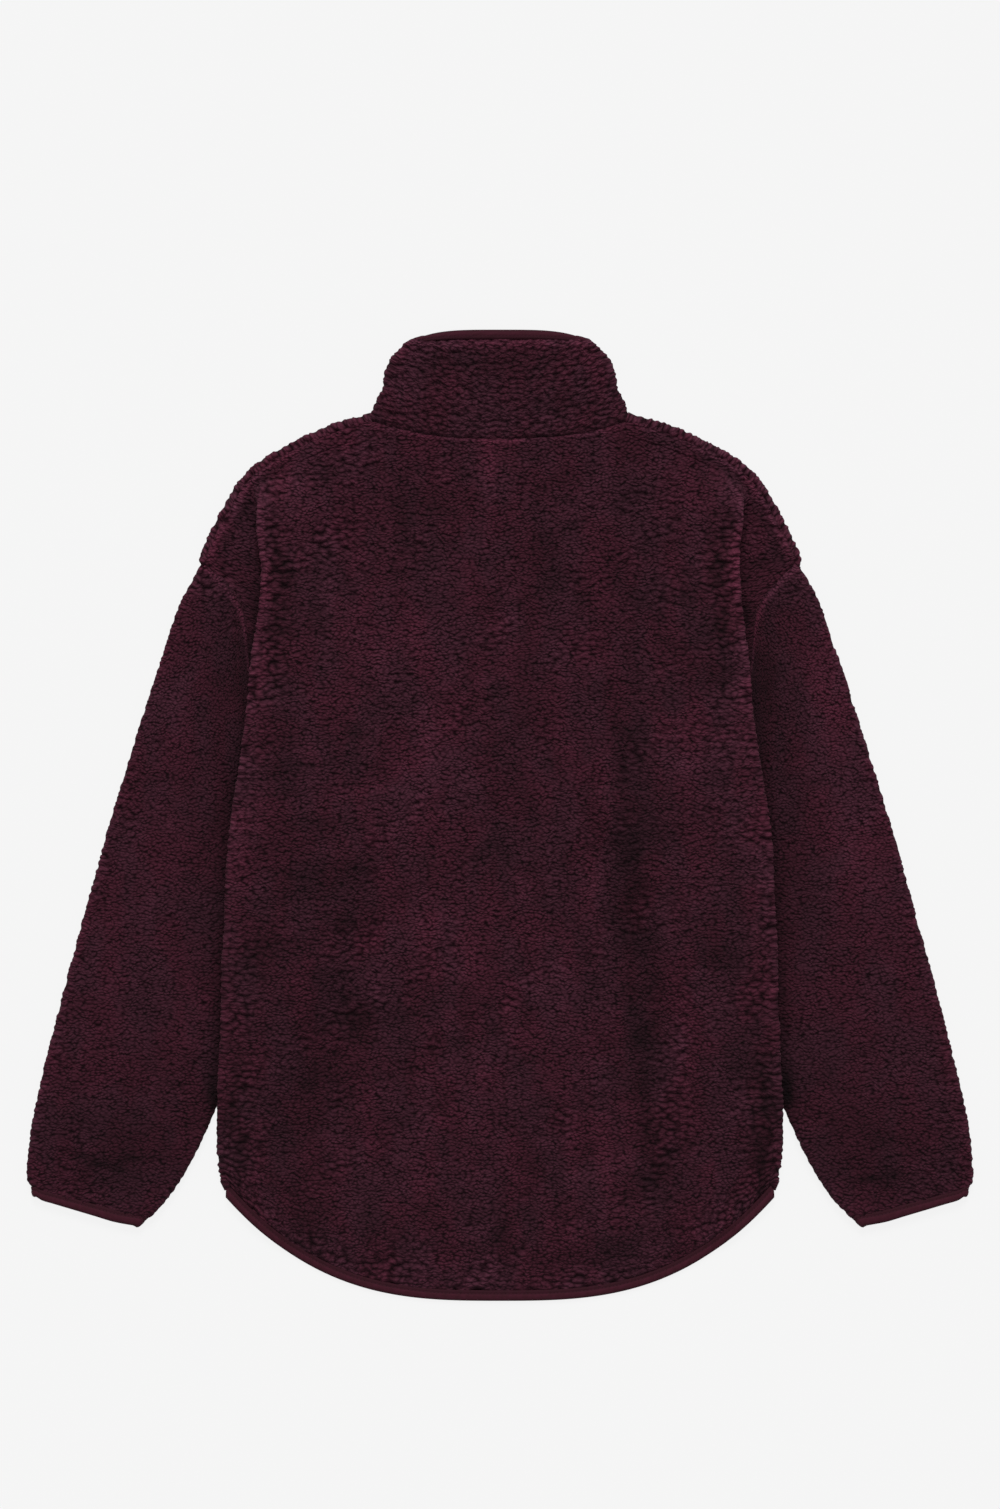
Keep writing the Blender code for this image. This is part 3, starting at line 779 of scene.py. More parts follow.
def pile_field(net, place_):
    """the curly pile at a place on the cloth, in metres: its round curls, even
    and leaning, the short ripples in which the rest of it lies and its fibre,
    each about 0 to 1"""
    p = net.vec("SCALE", place_, 1000.0)
    half_ = (0.5, 0.5, 0.5)
    sway = net.vec("SUBTRACT", net.noise(p, 1 / 11.0, 1.0, 0.5, colour=True), half_)
    kink = net.vec("SUBTRACT", net.noise(net.vec("MULTIPLY", p, (1 / 3.4, 1 / 2.6, 0.0)), 1.0, 0.0,
                                         0.5, colour=True), half_)
    q = net.vec("ADD", p, net.vec("MULTIPLY", sway, (5.0, 5.0, 0.0)))
    q = net.vec("ADD", q, net.vec("MULTIPLY", kink, (0.9, 0.7, 0.0)))
    curls, curly = tufts(net, q, 6.2, 3.9, 0.0, 0.85, 0.30)
    _, small = tufts(net, q, 3.0, 2.25, 0.10, 0.85, 0.45)
    # they stand less apart in some places
    where = net.noise(net.vec("MULTIPLY", p, (1 / 6.0, 1 / 4.0, 0.0)), 1.0, 1.0, 0.5)
    gap = net.math("MULTIPLY", net.math("SUBTRACT", 0.85, small), net.ramp(where, 0.35, 0.65, 1.05, 0.50))
    soft = net.noise(net.vec("MULTIPLY", q, (1 / 3.1, 1 / 1.9, 0.0)), 1.0, 0.4, 0.5)
    soft = net.ramp(soft, 0.20, 0.80, -0.18 + 0.75 * 0.85, 0.07 + 0.75 * 0.85)
    ripples = net.math("MULTIPLY_ADD", gap, -0.75, soft)
    fibre = net.noise(net.vec("MULTIPLY", q, (1 / 1.3, 1 / 0.8, 0.0)), 1.0, 2.0, 0.6)
    return curls, curly, ripples, fibre


def pile_heights(places):
    """pile_field's curls at many places, worked out by geometry nodes"""
    mesh = bpy.data.meshes.new("pile_points")
    mesh.vertices.add(len(places))
    mesh.vertices.foreach_set("co", np.asarray(places, np.float32).ravel())
    ob = bpy.data.objects.new("pile_points", mesh)
    bpy.context.scene.collection.objects.link(ob)
    tree = bpy.data.node_groups.new("pile_heights", "GeometryNodeTree")
    tree.interface.new_socket("Geometry", in_out="INPUT", socket_type="NodeSocketGeometry")
    tree.interface.new_socket("Geometry", in_out="OUTPUT", socket_type="NodeSocketGeometry")
    net = Net(tree)
    start, end = net.node("NodeGroupInput"), net.node("NodeGroupOutput")
    curls = pile_field(net, net.node("GeometryNodeInputPosition").outputs[0])[0]
    store = net.node("GeometryNodeStoreNamedAttribute", data_type="FLOAT", domain="POINT")
    net.give(store.inputs["Name"], "pile_high")
    tree.links.new(start.outputs[0], store.inputs["Geometry"])
    net.give(store.inputs["Value"], curls)
    tree.links.new(store.outputs[0], end.inputs[0])
    mod = ob.modifiers.new("pile", "NODES")
    mod.node_group = tree
    done = ob.evaluated_get(bpy.context.evaluated_depsgraph_get()).data
    out = np.zeros(len(places), np.float32)
    done.attributes["pile_high"].data.foreach_get("value", out)
    bpy.data.objects.remove(ob)
    bpy.data.meshes.remove(mesh)
    bpy.data.node_groups.remove(tree)
    return out.astype(float)


# ---------------------------------------------------------------- shells
def every(count, step, keep=()):
    """indices 0 to count - 1 a step apart, with the last and those in keep"""
    return np.array(sorted(set(range(0, count, step)) | {count - 1} | set(keep)))


def closed_shell(name, outer, inner, rows, cols, ring, sign, mat, rest=None, tone_and_painted_light=None, curl=None):
    """one closed mesh: a fine outer face, a plain inner face on fewer rows and
    columns, and the cut edges between them"""
    R, C = outer.shape[:2]
    r, c = len(rows), len(cols)
    verts = np.concatenate([outer.reshape(-1, 3), inner.reshape(-1, 3)])
    base = R * C

    def flip(faces):
        return faces if sign > 0 else faces[:, ::-1]
    j, i = np.meshgrid(np.arange(R - 1), np.arange(C if ring else C - 1), indexing="ij")
    k = (i + 1) % C
    quads = np.stack([j * C + i, j * C + k, (j + 1) * C + k, (j + 1) * C + i], -1).reshape(-1, 4)
    faces = [flip(quads)]
    j, i = np.meshgrid(np.arange(r - 1), np.arange(c if ring else c - 1), indexing="ij")
    k = (i + 1) % c
    quads = np.stack([j * c + i, j * c + k, (j + 1) * c + k, (j + 1) * c + i], -1).reshape(-1, 4)
    faces.append(flip(quads)[:, ::-1] + base)
    tris = []

    def stitch(fine, coarse, at, turn):
        # fine: outer indices along a cut edge; coarse: inner ones at fine[at]
        for a in range(len(at) - 1):
            lo, hi = at[a], at[a + 1]
            mid = (lo + hi) // 2
            for b in range(lo, hi):
                own = coarse[a] if b < mid else coarse[a + 1]
                tris.append((fine[b], fine[b + 1], own)[::turn])
            tris.append((fine[mid], coarse[a + 1], coarse[a])[::turn])
    across = list(cols) + ([C] if ring else [])
    inner_across = [m % c for m in range(len(across))]
    t = 1 if sign > 0 else -1
    stitch([m % C for m in range(C + 1)] if ring else list(range(C)),
           [base + m for m in inner_across], across, -t)
    stitch([(R - 1) * C + m % C for m in range(C + 1)] if ring
           else [(R - 1) * C + m for m in range(C)],
           [base + (r - 1) * c + m for m in inner_across], across, t)
    if not ring:
        stitch([m * C for m in range(R)], [base + m * c for m in range(r)], list(rows), t)
        stitch([m * C + C - 1 for m in range(R)], [base + m * c + c - 1 for m in range(r)],
               list(rows), -t)
    mesh = bpy.data.meshes.new(name)
    mesh.from_pydata(verts.tolist(), [], [f for block in faces for f in block.tolist()] + tris)
    mesh.materials.append(mat)
    mesh.shade_smooth()
    pick = np.ix_(rows, cols)
    for label, kind, key, value in (("rest", "FLOAT_VECTOR", "vector", rest),
                                    ("tone_and_painted_light", "FLOAT", "value", tone_and_painted_light),
                                    ("curl", "FLOAT", "value", curl)):
        if value is None:
            continue
        size = 3 if key == "vector" else 1
        flat = np.concatenate([value.reshape(-1, size), value[pick].reshape(-1, size)])
        attribute = mesh.attributes.new(label, kind, "POINT")
        attribute.data.foreach_set(key, flat.astype(np.float32).ravel())
    ob = bpy.data.objects.new(name, mesh)
    bpy.context.scene.collection.objects.link(ob)
    return ob


PILE_DEEP = 0.0013      # depth of the pile's cracks
SHEETS = []             # the pile pieces, until their pile is worked out


def pile_sheet(name, mid, up_at, rest, seams, lift, form, tone_and_painted_light, curl, keep_cols=(), keep_rows=(),
               ring=False, coarse=7, node=None):
    """a cloth piece. mid: its middle surface; up_at: a row, a column and +1
    or -1, whether its outer face is up or down there; seams: (distance from a
    sewn edge, how much the pile is pulled in there); lift: how far its outer
    face may stand proud; form: depth of its creases; curl: how far the pile
    stands in round curls, 0 to 1"""
    curl = np.clip(curl + np.zeros(mid.shape[:2]), 0, 1)
    n = normals_of(mid, ring)
    row, col, way = up_at
    sign = 1 if n[row, col, 2] * way > 0 else -1
    SHEETS.append(dict(name=name, mid=mid, n=n * sign, sign=sign, rest=rest, seams=seams,
                       lift=lift, form=form, tone_and_painted_light=tone_and_painted_light, ring=ring, curl=curl, node=node,
                       rows=every(len(mid), coarse, keep_rows),
                       cols=every(mid.shape[1], coarse, keep_cols)))


def finish_sheets(mat):
    high = pile_heights(np.concatenate([s["rest"].reshape(-1, 3) for s in SHEETS]))
    made, at = {}, 0
    for s in SHEETS:
        mid, n = s["mid"], s["n"]
        size = mid.shape[0] * mid.shape[1]
        h = high[at:at + size].reshape(mid.shape[:2])
        at += size
        out = CLOTH / 2 + s["lift"] - PILE_DEEP * (0.50 + 0.85 * s["curl"]) * (1 - h) - s["form"]
        for d, pull in s["seams"]:
            out = out - pull * np.exp(-(d / 0.0026) ** 2) + 0.35 * pull * np.exp(-((d - 0.0062) / 0.003) ** 2)
        out = np.maximum(out, 0.0004 - CLOTH / 2)
        outer = mid + n * out[..., None]
        # nothing goes through the surface it lies on
        outer[..., 2] = np.maximum(outer[..., 2], 0.00002)
        pick = np.ix_(s["rows"], s["cols"])
        inner = mid[pick] - n[pick] * CLOTH / 2
        inner[..., 2] = np.maximum(inner[..., 2], 0.0006)
        ob = closed_shell(s["name"], outer, inner, s["rows"], s["cols"], s["ring"], s["sign"],
                          mat, s["rest"], s["tone_and_painted_light"], s["curl"])
        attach(ob, "jacket")
        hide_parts(s["node"])
        made[s["name"]] = ob
    return made


def rest_of(across, way_up, shift):
    """a place on the cloth: the way across it and up it, with a shift that
    gives each piece its own stretch of pile"""
    return np.stack([across + shift, way_up, np.zeros_like(across)], -1)


def top_form(x, y, table, seed):
    return creases(x, y, table) - 0.00030 * waves(x * U, y * U, seed, 0.045, 0.13)


# ---- the back
n_back = (46, 13, 3, 7, 6, 6, 15)
half = np.array([back_row(r, False, n_back) for r in BACK_TOP]
                + [back_row(r, True, n_back) for r in BACK_LOW])
knots = [r[0] for r in BACK_TOP + BACK_LOW]
wide = half[-1, :, 0] / U
# lower at the corners, where the pile hangs over the end of the tape
low = 0.0014 + 0.0062 * fade((wide - 262) / 15)
# and further out at the shoulder's tip
out_ = 0.0024 + 0.0022 * np.exp(-((np.arange(468) - 66) / 5.0) ** 2)
mid = both_halves(reach(pchip(knots, half, np.linspace(knots[0], knots[-1], 466)),
                        first=0.0020, last=low[None, :, None], end=out_[:, None, None]))
centre = mid.shape[1] // 2
across = run_length(mid, 1)
across = across - across[:, centre:centre + 1]
down = run_length(mid, 0)
x, y = draft_x(mid), draft_y(mid)
# columns in which the cloth turns
turn_at = n_back[0] + n_back[1] + n_back[2]
turned = [centre + s * k for s in (-1, 1)
          for k in list(range(turn_at - 1, turn_at + 8)) + list(range(turn_at + 12, turn_at + 21))]
col = np.abs(np.arange(mid.shape[1]) - centre)
on_top = np.where(col <= turn_at + 3, 1.0, 0.0)[None, :] + np.zeros(mid.shape[:2])
wing = fade((np.abs(x) - np.interp(y, knots, [r[3] for r in BACK_TOP + BACK_LOW]) - 3) / 4)
wing = wing * (col > turn_at + 12)[None, :]
shown = np.maximum(on_top, wing)
fold_x = np.interp(y, knots, [r[3] for r in BACK_TOP + BACK_LOW])
beside = fold_x - np.abs(x)              # distance in from the turned edge
below = fade((y - 492) / 40) * on_top
form = top_form(x, y, BODY_CREASES, 3) * shown
wander = 3.0 * waves(y, np.zeros_like(y), 8, 60, 240) + 1.5 * waves(y, x * 0, 9, 20, 50)
form = form + below * 0.00070 * np.exp(-((beside - 22 - wander) / 5.0) ** 2)
form = form - below * 0.00060 * np.exp(-((beside - 8) / 8) ** 2)
# the pile's tone: the patches, partly nap and partly painted light and shade; random tone; a painted highlight
# along the turned edge; and painted shade in the trough of deep clumps just inside it
tone_and_painted_light = (2.3 * patches(x, y, PATCHES) + 0.055 * waves(x * U, y * U, 5, 0.03, 0.16)
        + 0.085 * waves(x * U, y * U, 15, 0.014, 0.045, 24)
        + fade((y - 468) / 34) * on_top * np.exp(-((beside - 3.6) / 3.6) ** 2)
        * np.interp(y, [480, 600, 700, 800, 900, 1000, 1120], [0.95, 0.86, 0.66, 0.44, 0.30, 0.22, 0.10])
        + below * (- 0.34 * np.exp(-((beside - 18 - wander) / 5) ** 2)
                   - 0.22 * np.exp(-((beside - 22) / 11) ** 2)))
# a painted highlight along the ridge below the neck seam, and a broader one along the ridge at the shoulder's
# tip, with painted shade in the valley inside it
edge = np.minimum(across[:, -1:] - across, across - across[:, :1])
at_tip = fade((np.abs(x) - 190) / 40)
upper = shown * fade((564 - y) / 6)
tone_and_painted_light = tone_and_painted_light + ((1.35 - 0.55 * np.exp(-((x + 5) / 26) ** 2))
               * np.exp(-((down - 0.0047) / 0.0021) ** 2) * fade((132 - np.abs(x)) / 10))
tone_and_painted_light = tone_and_painted_light + upper * ((0.34 + 0.66 * at_tip) * np.exp(-((edge - 0.0036) / 0.0028) ** 2)
                       - (0.10 + 0.20 * at_tip) * np.exp(-((edge - 0.0125) / 0.0042) ** 2))
# the wing under the turned edge lies in its shade
away = np.clip(-beside, 0, None)
tone_and_painted_light = tone_and_painted_light - np.where(col > turn_at + 9, 1.0, 0.0)[None, :] * fade((y - 486) / 30) * (
    0.34 * np.exp(-(away / (5 + 4 * fade((y - 540) / 60))) ** 2)
    + 0.24 * fade((y - 530) / 90) * np.exp(-(away / 40) ** 2))
# a painted highlight along the ridge beside the armhole seam
tone_and_painted_light = tone_and_painted_light + wing * fade((y - 560) / 6) * 0.10 * np.exp(-((edge - 0.0050) / 0.0034) ** 2)
form = form - 0.0009 * np.exp(-((down - 0.0046) / 0.0022) ** 2) * fade((132 - np.abs(x)) / 10)
form = form - upper * at_tip * 0.0007 * np.exp(-((edge - 0.0034) / 0.0028) ** 2)
curl = (patches(x, y, CURLY) + 0.20 * waves(x * U, y * U, 6, 0.02, 0.09) + 0.25
        + below * 0.75 * np.exp(-((beside - 18) / 16) ** 2)
        - wing * (0.30 - 0.40 * np.exp(-((edge - 0.004) / 0.005) ** 2))
        + 0.4 * np.exp(-((down - 0.020) / 0.010) ** 2) * fade((np.abs(x) - 90) / 60)
        - 0.6 * np.exp(-((down - 0.0042) / 0.0035) ** 2)
        + 0.5 * np.exp(-((down[-1:] - down) / 0.025) ** 2))
pile_sheet("back_panel_pile", mid, (200, centre, 1), rest_of(across, mid[..., 1], 0.0),
           [(down, 0.0010), (down[-1:] - down, 0.0012), (edge, 0.0004)],
           0.0002 * shown, form, tone_and_painted_light, curl, keep_cols=turned + [centre], node="back_panel")

# ---- the fronts
n_front = (88, 9, 6)
half = np.array([front_row(i, n_front) for i in range(len(FRONT))])
ends = [0.0]
for a, b in zip(FRONT, FRONT[1:]):
    ends.append(ends[-1] + math.hypot(b[3] - a[3], b[1] - a[1]))
rolled = ends[9]
steps = np.concatenate([np.linspace(0, rolled, int(rolled * U / 0.0014)),
                        np.linspace(rolled, ends[-1], int((ends[-1] - rolled) * U / 0.0023))[1:]])
mid_r = reach(pchip(ends, half, steps), first=0.0070, last=0.0012, end=0.0024)
for side, label in ((1, "right"), (-1, "left")):
    mid = mid_r.copy()
    mid[..., 0] *= side
    across = run_length(mid, 1)
    down = run_length(mid, 0)
    x, y = draft_x(mid), draft_y(mid)
    under = np.clip((0.0045 - mid[..., 2]) / 0.002, 0, 1)
    form = np.maximum(0.0, creases(x, y, UNDER_CREASES, both=True)) * under
    tone_and_painted_light = 0.035 * waves(x * U, y * U, 11 + side, 0.03, 0.16)
    # a painted highlight on the roll over the shoulder
    tone_and_painted_light = tone_and_painted_light + 0.34 * (1 - under)
    pile_sheet("front_panel_%s_pile" % label, mid, (len(mid) // 2, 8, -1),
               rest_of(across, -down, 2.0 * side),
               [(across, 0.0010), (across[:, -1:] - across, 0.0007),
                (down[-1:] - down, 0.0010)],
               0.0006 * (1 - under), form, tone_and_painted_light, 0.35 + 0.6 * (1 - under),
               keep_cols=range(n_front[0] - 1, n_front[0] + n_front[1] + 1),
               node="front_panel_" + label)

# ---- the sleeves
N_TOP, N_END, N_LOW = 64, 8, 40


def fine_ring(ring, n=4):
    """a ring of tube_row, whose corners are joined by smooth lines"""
    ring = np.array(ring)
    k = len(ARMHOLE) - 1
    u = np.array([row[0] for row in ARMHOLE])
    top = ring[:k + 1]
    low = ring[k + n:2 * k + n + 1]
    out = [pchip(u, top, np.linspace(0, 1, N_TOP + 1))]

    a, b = top[-1], low[0]
    ang = np.linspace(0, math.pi, N_END + 1)[1:-1, None]
    out.append((a + b) / 2 + (a - b) / 2 * np.cos(ang) + (ring[k + n // 2] - (a + b) / 2) * np.sin(ang))
    out.append(pchip(1 - u[::-1], low, np.linspace(0, 1, N_LOW + 1)))
    a, b = low[-1], top[0]
    out.append((a + b) / 2 + (a - b) / 2 * np.cos(ang)
               + (ring[2 * k + n + n // 2] - (a + b) / 2) * np.sin(ang))
    return np.concatenate(out)


rings = np.array([fine_ring(r) for r in tube_rows(SLEEVE)])
knots = [0.0]
for a, b in zip(SLEEVE, SLEEVE[1:]):
    knots.append(knots[-1] + math.hypot((b[0] + b[2] - a[0] - a[2]) / 2,
                                        (b[1] + b[3] - a[1] - a[3]) / 2))
# further up at the shoulder's tip, where the roll of the front ends on it
tip = np.zeros(rings.shape[1])
tip[:10] = 0.0034 * (1 - np.arange(10) / 10)
tip[-8:] = 0.0034
mid_r = reach(pchip(knots, rings, np.linspace(0, knots[-1], int(knots[-1] * U / 0.00125))),
              first=0.0024 + tip[None, :, None], last=0.0028)
for side, label in ((1, "right"), (-1, "left")):
    mid = mid_r.copy()
    mid[..., 0] *= side
    C = mid.shape[1]
    # way round from the middle of the outer edge, the same over and under
    loop = run_length(np.concatenate([mid, mid[:, :1]], axis=1), 1)
    total = loop[:, -1:]
    apex = N_TOP + 1 + N_END - 1 + N_LOW + 1 + (N_END - 1) // 2
    way = np.abs((loop[:, :C] - loop[:, apex:apex + 1] + total) % total)
    way = np.minimum(way, total - way)
    across = side * (mid_r[:, apex:apex + 1, 0] - way)
    down = run_length(mid, 0)
    x, y = draft_x(mid), draft_y(mid)
    top = np.clip((mid[..., 2] - (L1 + L2) / 2) / 0.0015, 0, 1)
    # only what shows beside the body may stand proud of the cloth
    fold_x = np.interp(y, [r[0] for r in BACK_TOP + BACK_LOW], [r[3] for r in BACK_TOP + BACK_LOW])
    clear = top * fade((np.abs(x) - fold_x - 2) / 10)
    form = top_form(x, y, SLEEVE_CREASES[label], 21 + side) * clear
    form = form + np.maximum(0, creases(x, y, UNDER_CREASES, both=True)) * (1 - top)
    tone_and_painted_light = 2.0 * patches(x, y, PATCHES) * top + 0.03 * waves(x * U, y * U, 31 + side, 0.03, 0.14)
    # a painted highlight in a band along the outer edge, where the tube rounds over
    tone_and_painted_light = tone_and_painted_light + 0.20 * np.exp(-((way - 0.003) / 0.005) ** 2)
    # painted shadow on the sleeve beside the body's turned edge, widest near the top
    away = np.clip(np.abs(x) - fold_x, 0, None)
    broad = np.interp(y, [560, 660, 860, 960, 1110], [42, 50, 42, 22, 12])
    tone_and_painted_light = tone_and_painted_light - top * (0.30 * np.exp(-(away / 8) ** 2) + 0.26 * np.exp(-(away / broad) ** 2))
    tone_and_painted_light = tone_and_painted_light + 0.04 * waves(x * U, y * U, 61 + side, 0.014, 0.045, 24)
    # a painted highlight along the ridge beside the armhole seam
    tone_and_painted_light = tone_and_painted_light + 1.15 * top * np.exp(-((down - 0.0050) / 0.0017) ** 2)
    curl = (patches(x, y, CURLY) + 0.20 * waves(x * U, y * U, 51 + side, 0.02, 0.09) + 0.0
            + 0.50 * np.exp(-(way / 0.012) ** 2) + 0.25 * np.exp(-((down[-1:] - down) / 0.02) ** 2)
            + 0.3 * np.exp(-((down - 0.02) / 0.01) ** 2) - 0.6 * np.exp(-(down / 0.0060) ** 2))
    ends_in = [k for k in range(N_TOP - 1, N_TOP + N_END + 2)] + list(range(apex - 4, C)) + [0, 1]
    pile_sheet("sleeve_%s_pile" % label, mid, (len(mid) // 2, 20, 1),
               rest_of(across, mid[..., 1], 5.0 + 2.0 * side),
               [(down, 0.0007), (down[-1:] - down, 0.0010)],
               0.0002 * clear, form, tone_and_painted_light, curl, keep_cols=ends_in, ring=True,
               node="sleeve_" + label)

# ---- the collar
n_collar = (48, 8, 34)
half = np.array([collar_row(r, n_collar) for r in COLLAR])
knots = [-r[1] for r in COLLAR]
wide = half[-1, :, 0] / U
# at the sides the pile stands up over the ends of the tape
high = 0.0014 + 0.0056 * fade((wide - 64) / 20)
mid = both_halves(reach(pchip(knots, half, np.linspace(knots[0], knots[-1], 62)),
                        first=0.0034, last=high[None, :, None]))
centre = mid.shape[1] // 2
across = run_length(mid, 1)
across = across - across[:, centre:centre + 1]
down = run_length(mid, 0)
x, y = draft_x(mid), draft_y(mid)
top = np.clip((mid[..., 2] - 0.0045) / 0.002, 0, 1)
form = top_form(x, y, COLLAR_CREASES, 41) * top
left = down[-1:] - down
form = form - 0.0006 * top * np.exp(-((left - 0.007) / 0.004) ** 2)
tone_and_painted_light = 2.0 * patches(x, y, PATCHES) + 0.01 + 0.05 * waves(x * U, y * U, 43, 0.015, 0.08)
# a painted highlight on the collar's top roll and painted shade along the neck seam below it
tone_and_painted_light = tone_and_painted_light + 0.62 * np.exp(-((left - 0.0055) / 0.0042) ** 2) - 0.45 * np.exp(-(down / 0.0055) ** 2)
turned = [centre + s * k for s in (-1, 1) for k in range(n_collar[0] - 1, n_collar[0] + n_collar[1] + 2)]
pile_sheet("collar_pile", mid, (30, centre, 1), rest_of(1.18 * across, 1.18 * down, 9.5),
           [(down, 0.0023), (down[-1:] - down, 0.0010),
            (np.minimum(across[:, -1:] - across, across - across[:, :1]), 0.0010)],
           0.0002 * top + 0.0026 * fade((np.abs(x) - 84) / 22) * np.exp(-((y - 364) / 20) ** 2), form, tone_and_painted_light, 0.66, keep_cols=turned + [centre], node="collar")

# ---------------------------------------------------------------- materials
def srgb(r, g, b):
    def one(v):
        v /= 255.0
        return v / 12.92 if v <= 0.04045 else ((v + 0.055) / 1.055) ** 2.4
    return (one(r), one(g), one(b), 1.0)


def new_material(name, **constants):
    mat = bpy.data.materials.new(name)
    mat.use_nodes = True
    bsdf = mat.node_tree.nodes["Principled BSDF"]
    for key, value in constants.items():
        bsdf.inputs[key.replace("_", " ")].default_value = value
    return mat, Net(mat.node_tree), bsdf


def attribute(net, name, output="Vector"):
    return net.node("ShaderNodeAttribute", attribute_name=name).outputs[output]


def bump(net, bsdf, height, distance, strength):
    n = net.node("ShaderNodeBump", inputs={"Height": height, "Distance": distance,
                                           "Strength": strength})
    net.give(bsdf.inputs["Normal"], n.outputs[0])


def scaled(net, colour, factor):
    n = net.node("ShaderNodeVectorMath", operation="SCALE")
    net.give(n.inputs[0], colour)
    net.give(n.inputs["Scale"], factor)
    return n.outputs[0]


def pile_material():
    mat, net, bsdf = new_material("pile_curly", Sheen_Weight=0.10, Sheen_Roughness=0.45,
                                  Sheen_Tint=srgb(196, 128, 150), Specular_IOR_Level=0.12)
    place_ = attribute(net, "rest")
    tone_and_painted_light = attribute(net, "tone_and_painted_light", "Fac")
    curl = attribute(net, "curl", "Fac")
    _, curly, ripples, fibre = pile_field(net, place_)
    # where the pile lies down it is also calmer
    calm = net.ramp(curl, 0.0, 0.16, 0.78, 1.0)
    curl = net.ramp(curl, 0.1, 1.0, 0.0, 0.85)
    high = net.math("MULTIPLY_ADD", ripples, 0.30, net.math("MULTIPLY_ADD", curly, 1.00, -0.16))
    high = net.math("MULTIPLY_ADD", net.math("SUBTRACT", high, ripples), curl, ripples)
    high = net.math("MULTIPLY_ADD", net.math("SUBTRACT", high, 0.56), calm, 0.56)
    # the colour follows the pile's height: darker in the cracks between the tufts as painted shade, lighter on
    # their tops as painted light
    t = net.math("MULTIPLY_ADD", high, 0.96, 0.035)
    t = net.math("MULTIPLY_ADD", net.math("SUBTRACT", fibre, 0.5), 0.16, t, clamp=True)
    colour = net.mix(t, srgb(17, 0, 5), srgb(73, 33, 47))
    blotch = net.noise(net.vec("MULTIPLY", place_, (55.0, 85.0, 1.0)), 1.0, 2.0, 0.55)
    colour = scaled(net, colour, net.ramp(blotch, 0.30, 0.70, 0.90, 1.10))
    hue = net.noise(net.vec("MULTIPLY", place_, (30.0, 18.0, 1.0)), 1.0, 2.0, 0.55)
    colour = net.vec("MULTIPLY", colour, net.mix(net.ramp(hue, 0.38, 0.62), (1.05, 0.90, 0.95, 1.0),
                                                 (0.94, 1.08, 1.03, 1.0)))
    # the per-vertex tone attribute brightens or darkens the pile: painted light and shade on the folds, rolls,
    # ridges and seams, with the nap's own tone
    colour = scaled(net, colour, net.math("ADD", tone_and_painted_light, 1.0))
    net.give(bsdf.inputs["Base Color"], colour)
    net.give(bsdf.inputs["Roughness"], net.ramp(fibre, 0.2, 0.8, 0.98, 0.86))
    bump(net, bsdf, net.math("MULTIPLY_ADD", fibre, 0.08, high), 0.0020, 1.0)
    return mat


def binding_material():
    mat, net, bsdf = new_material("binding_folded", Sheen_Weight=0.04, Sheen_Roughness=0.4,
                                  Sheen_Tint=srgb(190, 100, 130), Specular_IOR_Level=0.12)
    p = net.vec("SCALE", attribute(net, "tape"), 1000.0)
    along, over, _ = net.node("ShaderNodeSeparateXYZ", inputs={"Vector": p}).outputs
    rib = net.math("SINE", net.math("MULTIPLY", net.math("ADD", along, net.math("MULTIPLY", over, 0.6)), 9.0))
    rib2 = net.math("SINE", net.math("MULTIPLY", over, 12.0))
    weave = net.math("MULTIPLY", rib, rib2)
    wear = net.noise(p, 0.22, 3.0, 0.6)
    # one row of stitches near the cloth
    step = net.math("FRACT", net.math("DIVIDE", along, 3.0))
    dash = net.math("MULTIPLY", net.ramp(step, 0.08, 0.16), net.ramp(step, 0.84, 0.92, 1.0, 0.0))
    off = net.math("ABSOLUTE", net.math("SUBTRACT", over, 1.5))
    thread = net.math("MULTIPLY", dash, net.ramp(off, 0.18, 0.36, 1.0, 0.0))
    hole = net.math("MULTIPLY", net.math("SUBTRACT", 1.0, dash), net.ramp(off, 0.2, 0.5, 1.0, 0.0))
    colour = net.mix(net.ramp(wear, 0.3, 0.7), srgb(53, 17, 27), srgb(63, 23, 36))
    colour = net.mix(net.math("MULTIPLY", weave, 0.25, clamp=True), colour, srgb(30, 9, 15))
    colour = net.mix(thread, colour, srgb(56, 24, 34))
    # painted shade in the stitch holes, which the bump also dents
    colour = net.mix(net.math("MULTIPLY", hole, 0.5), colour, srgb(24, 6, 12))
    # painted shade next to the cloth, under the pile's edge, and on the folded edge, which rounds away
    shade = net.math("MULTIPLY", net.ramp(over, 0.4, 2.2, 0.66, 1.06), net.ramp(over, 4.2, 6.9, 1.0, 0.68))
    colour = scaled(net, colour, shade)
    net.give(bsdf.inputs["Base Color"], colour)
    net.give(bsdf.inputs["Roughness"], net.ramp(wear, 0.3, 0.7, 0.74, 0.86))
    high = net.math("ADD", net.math("MULTIPLY", weave, 0.12), net.math("MULTIPLY", thread, 0.5))
    bump(net, bsdf, net.math("SUBTRACT", high, net.math("MULTIPLY", hole, 0.5)), 0.0004, 0.6)
    return mat


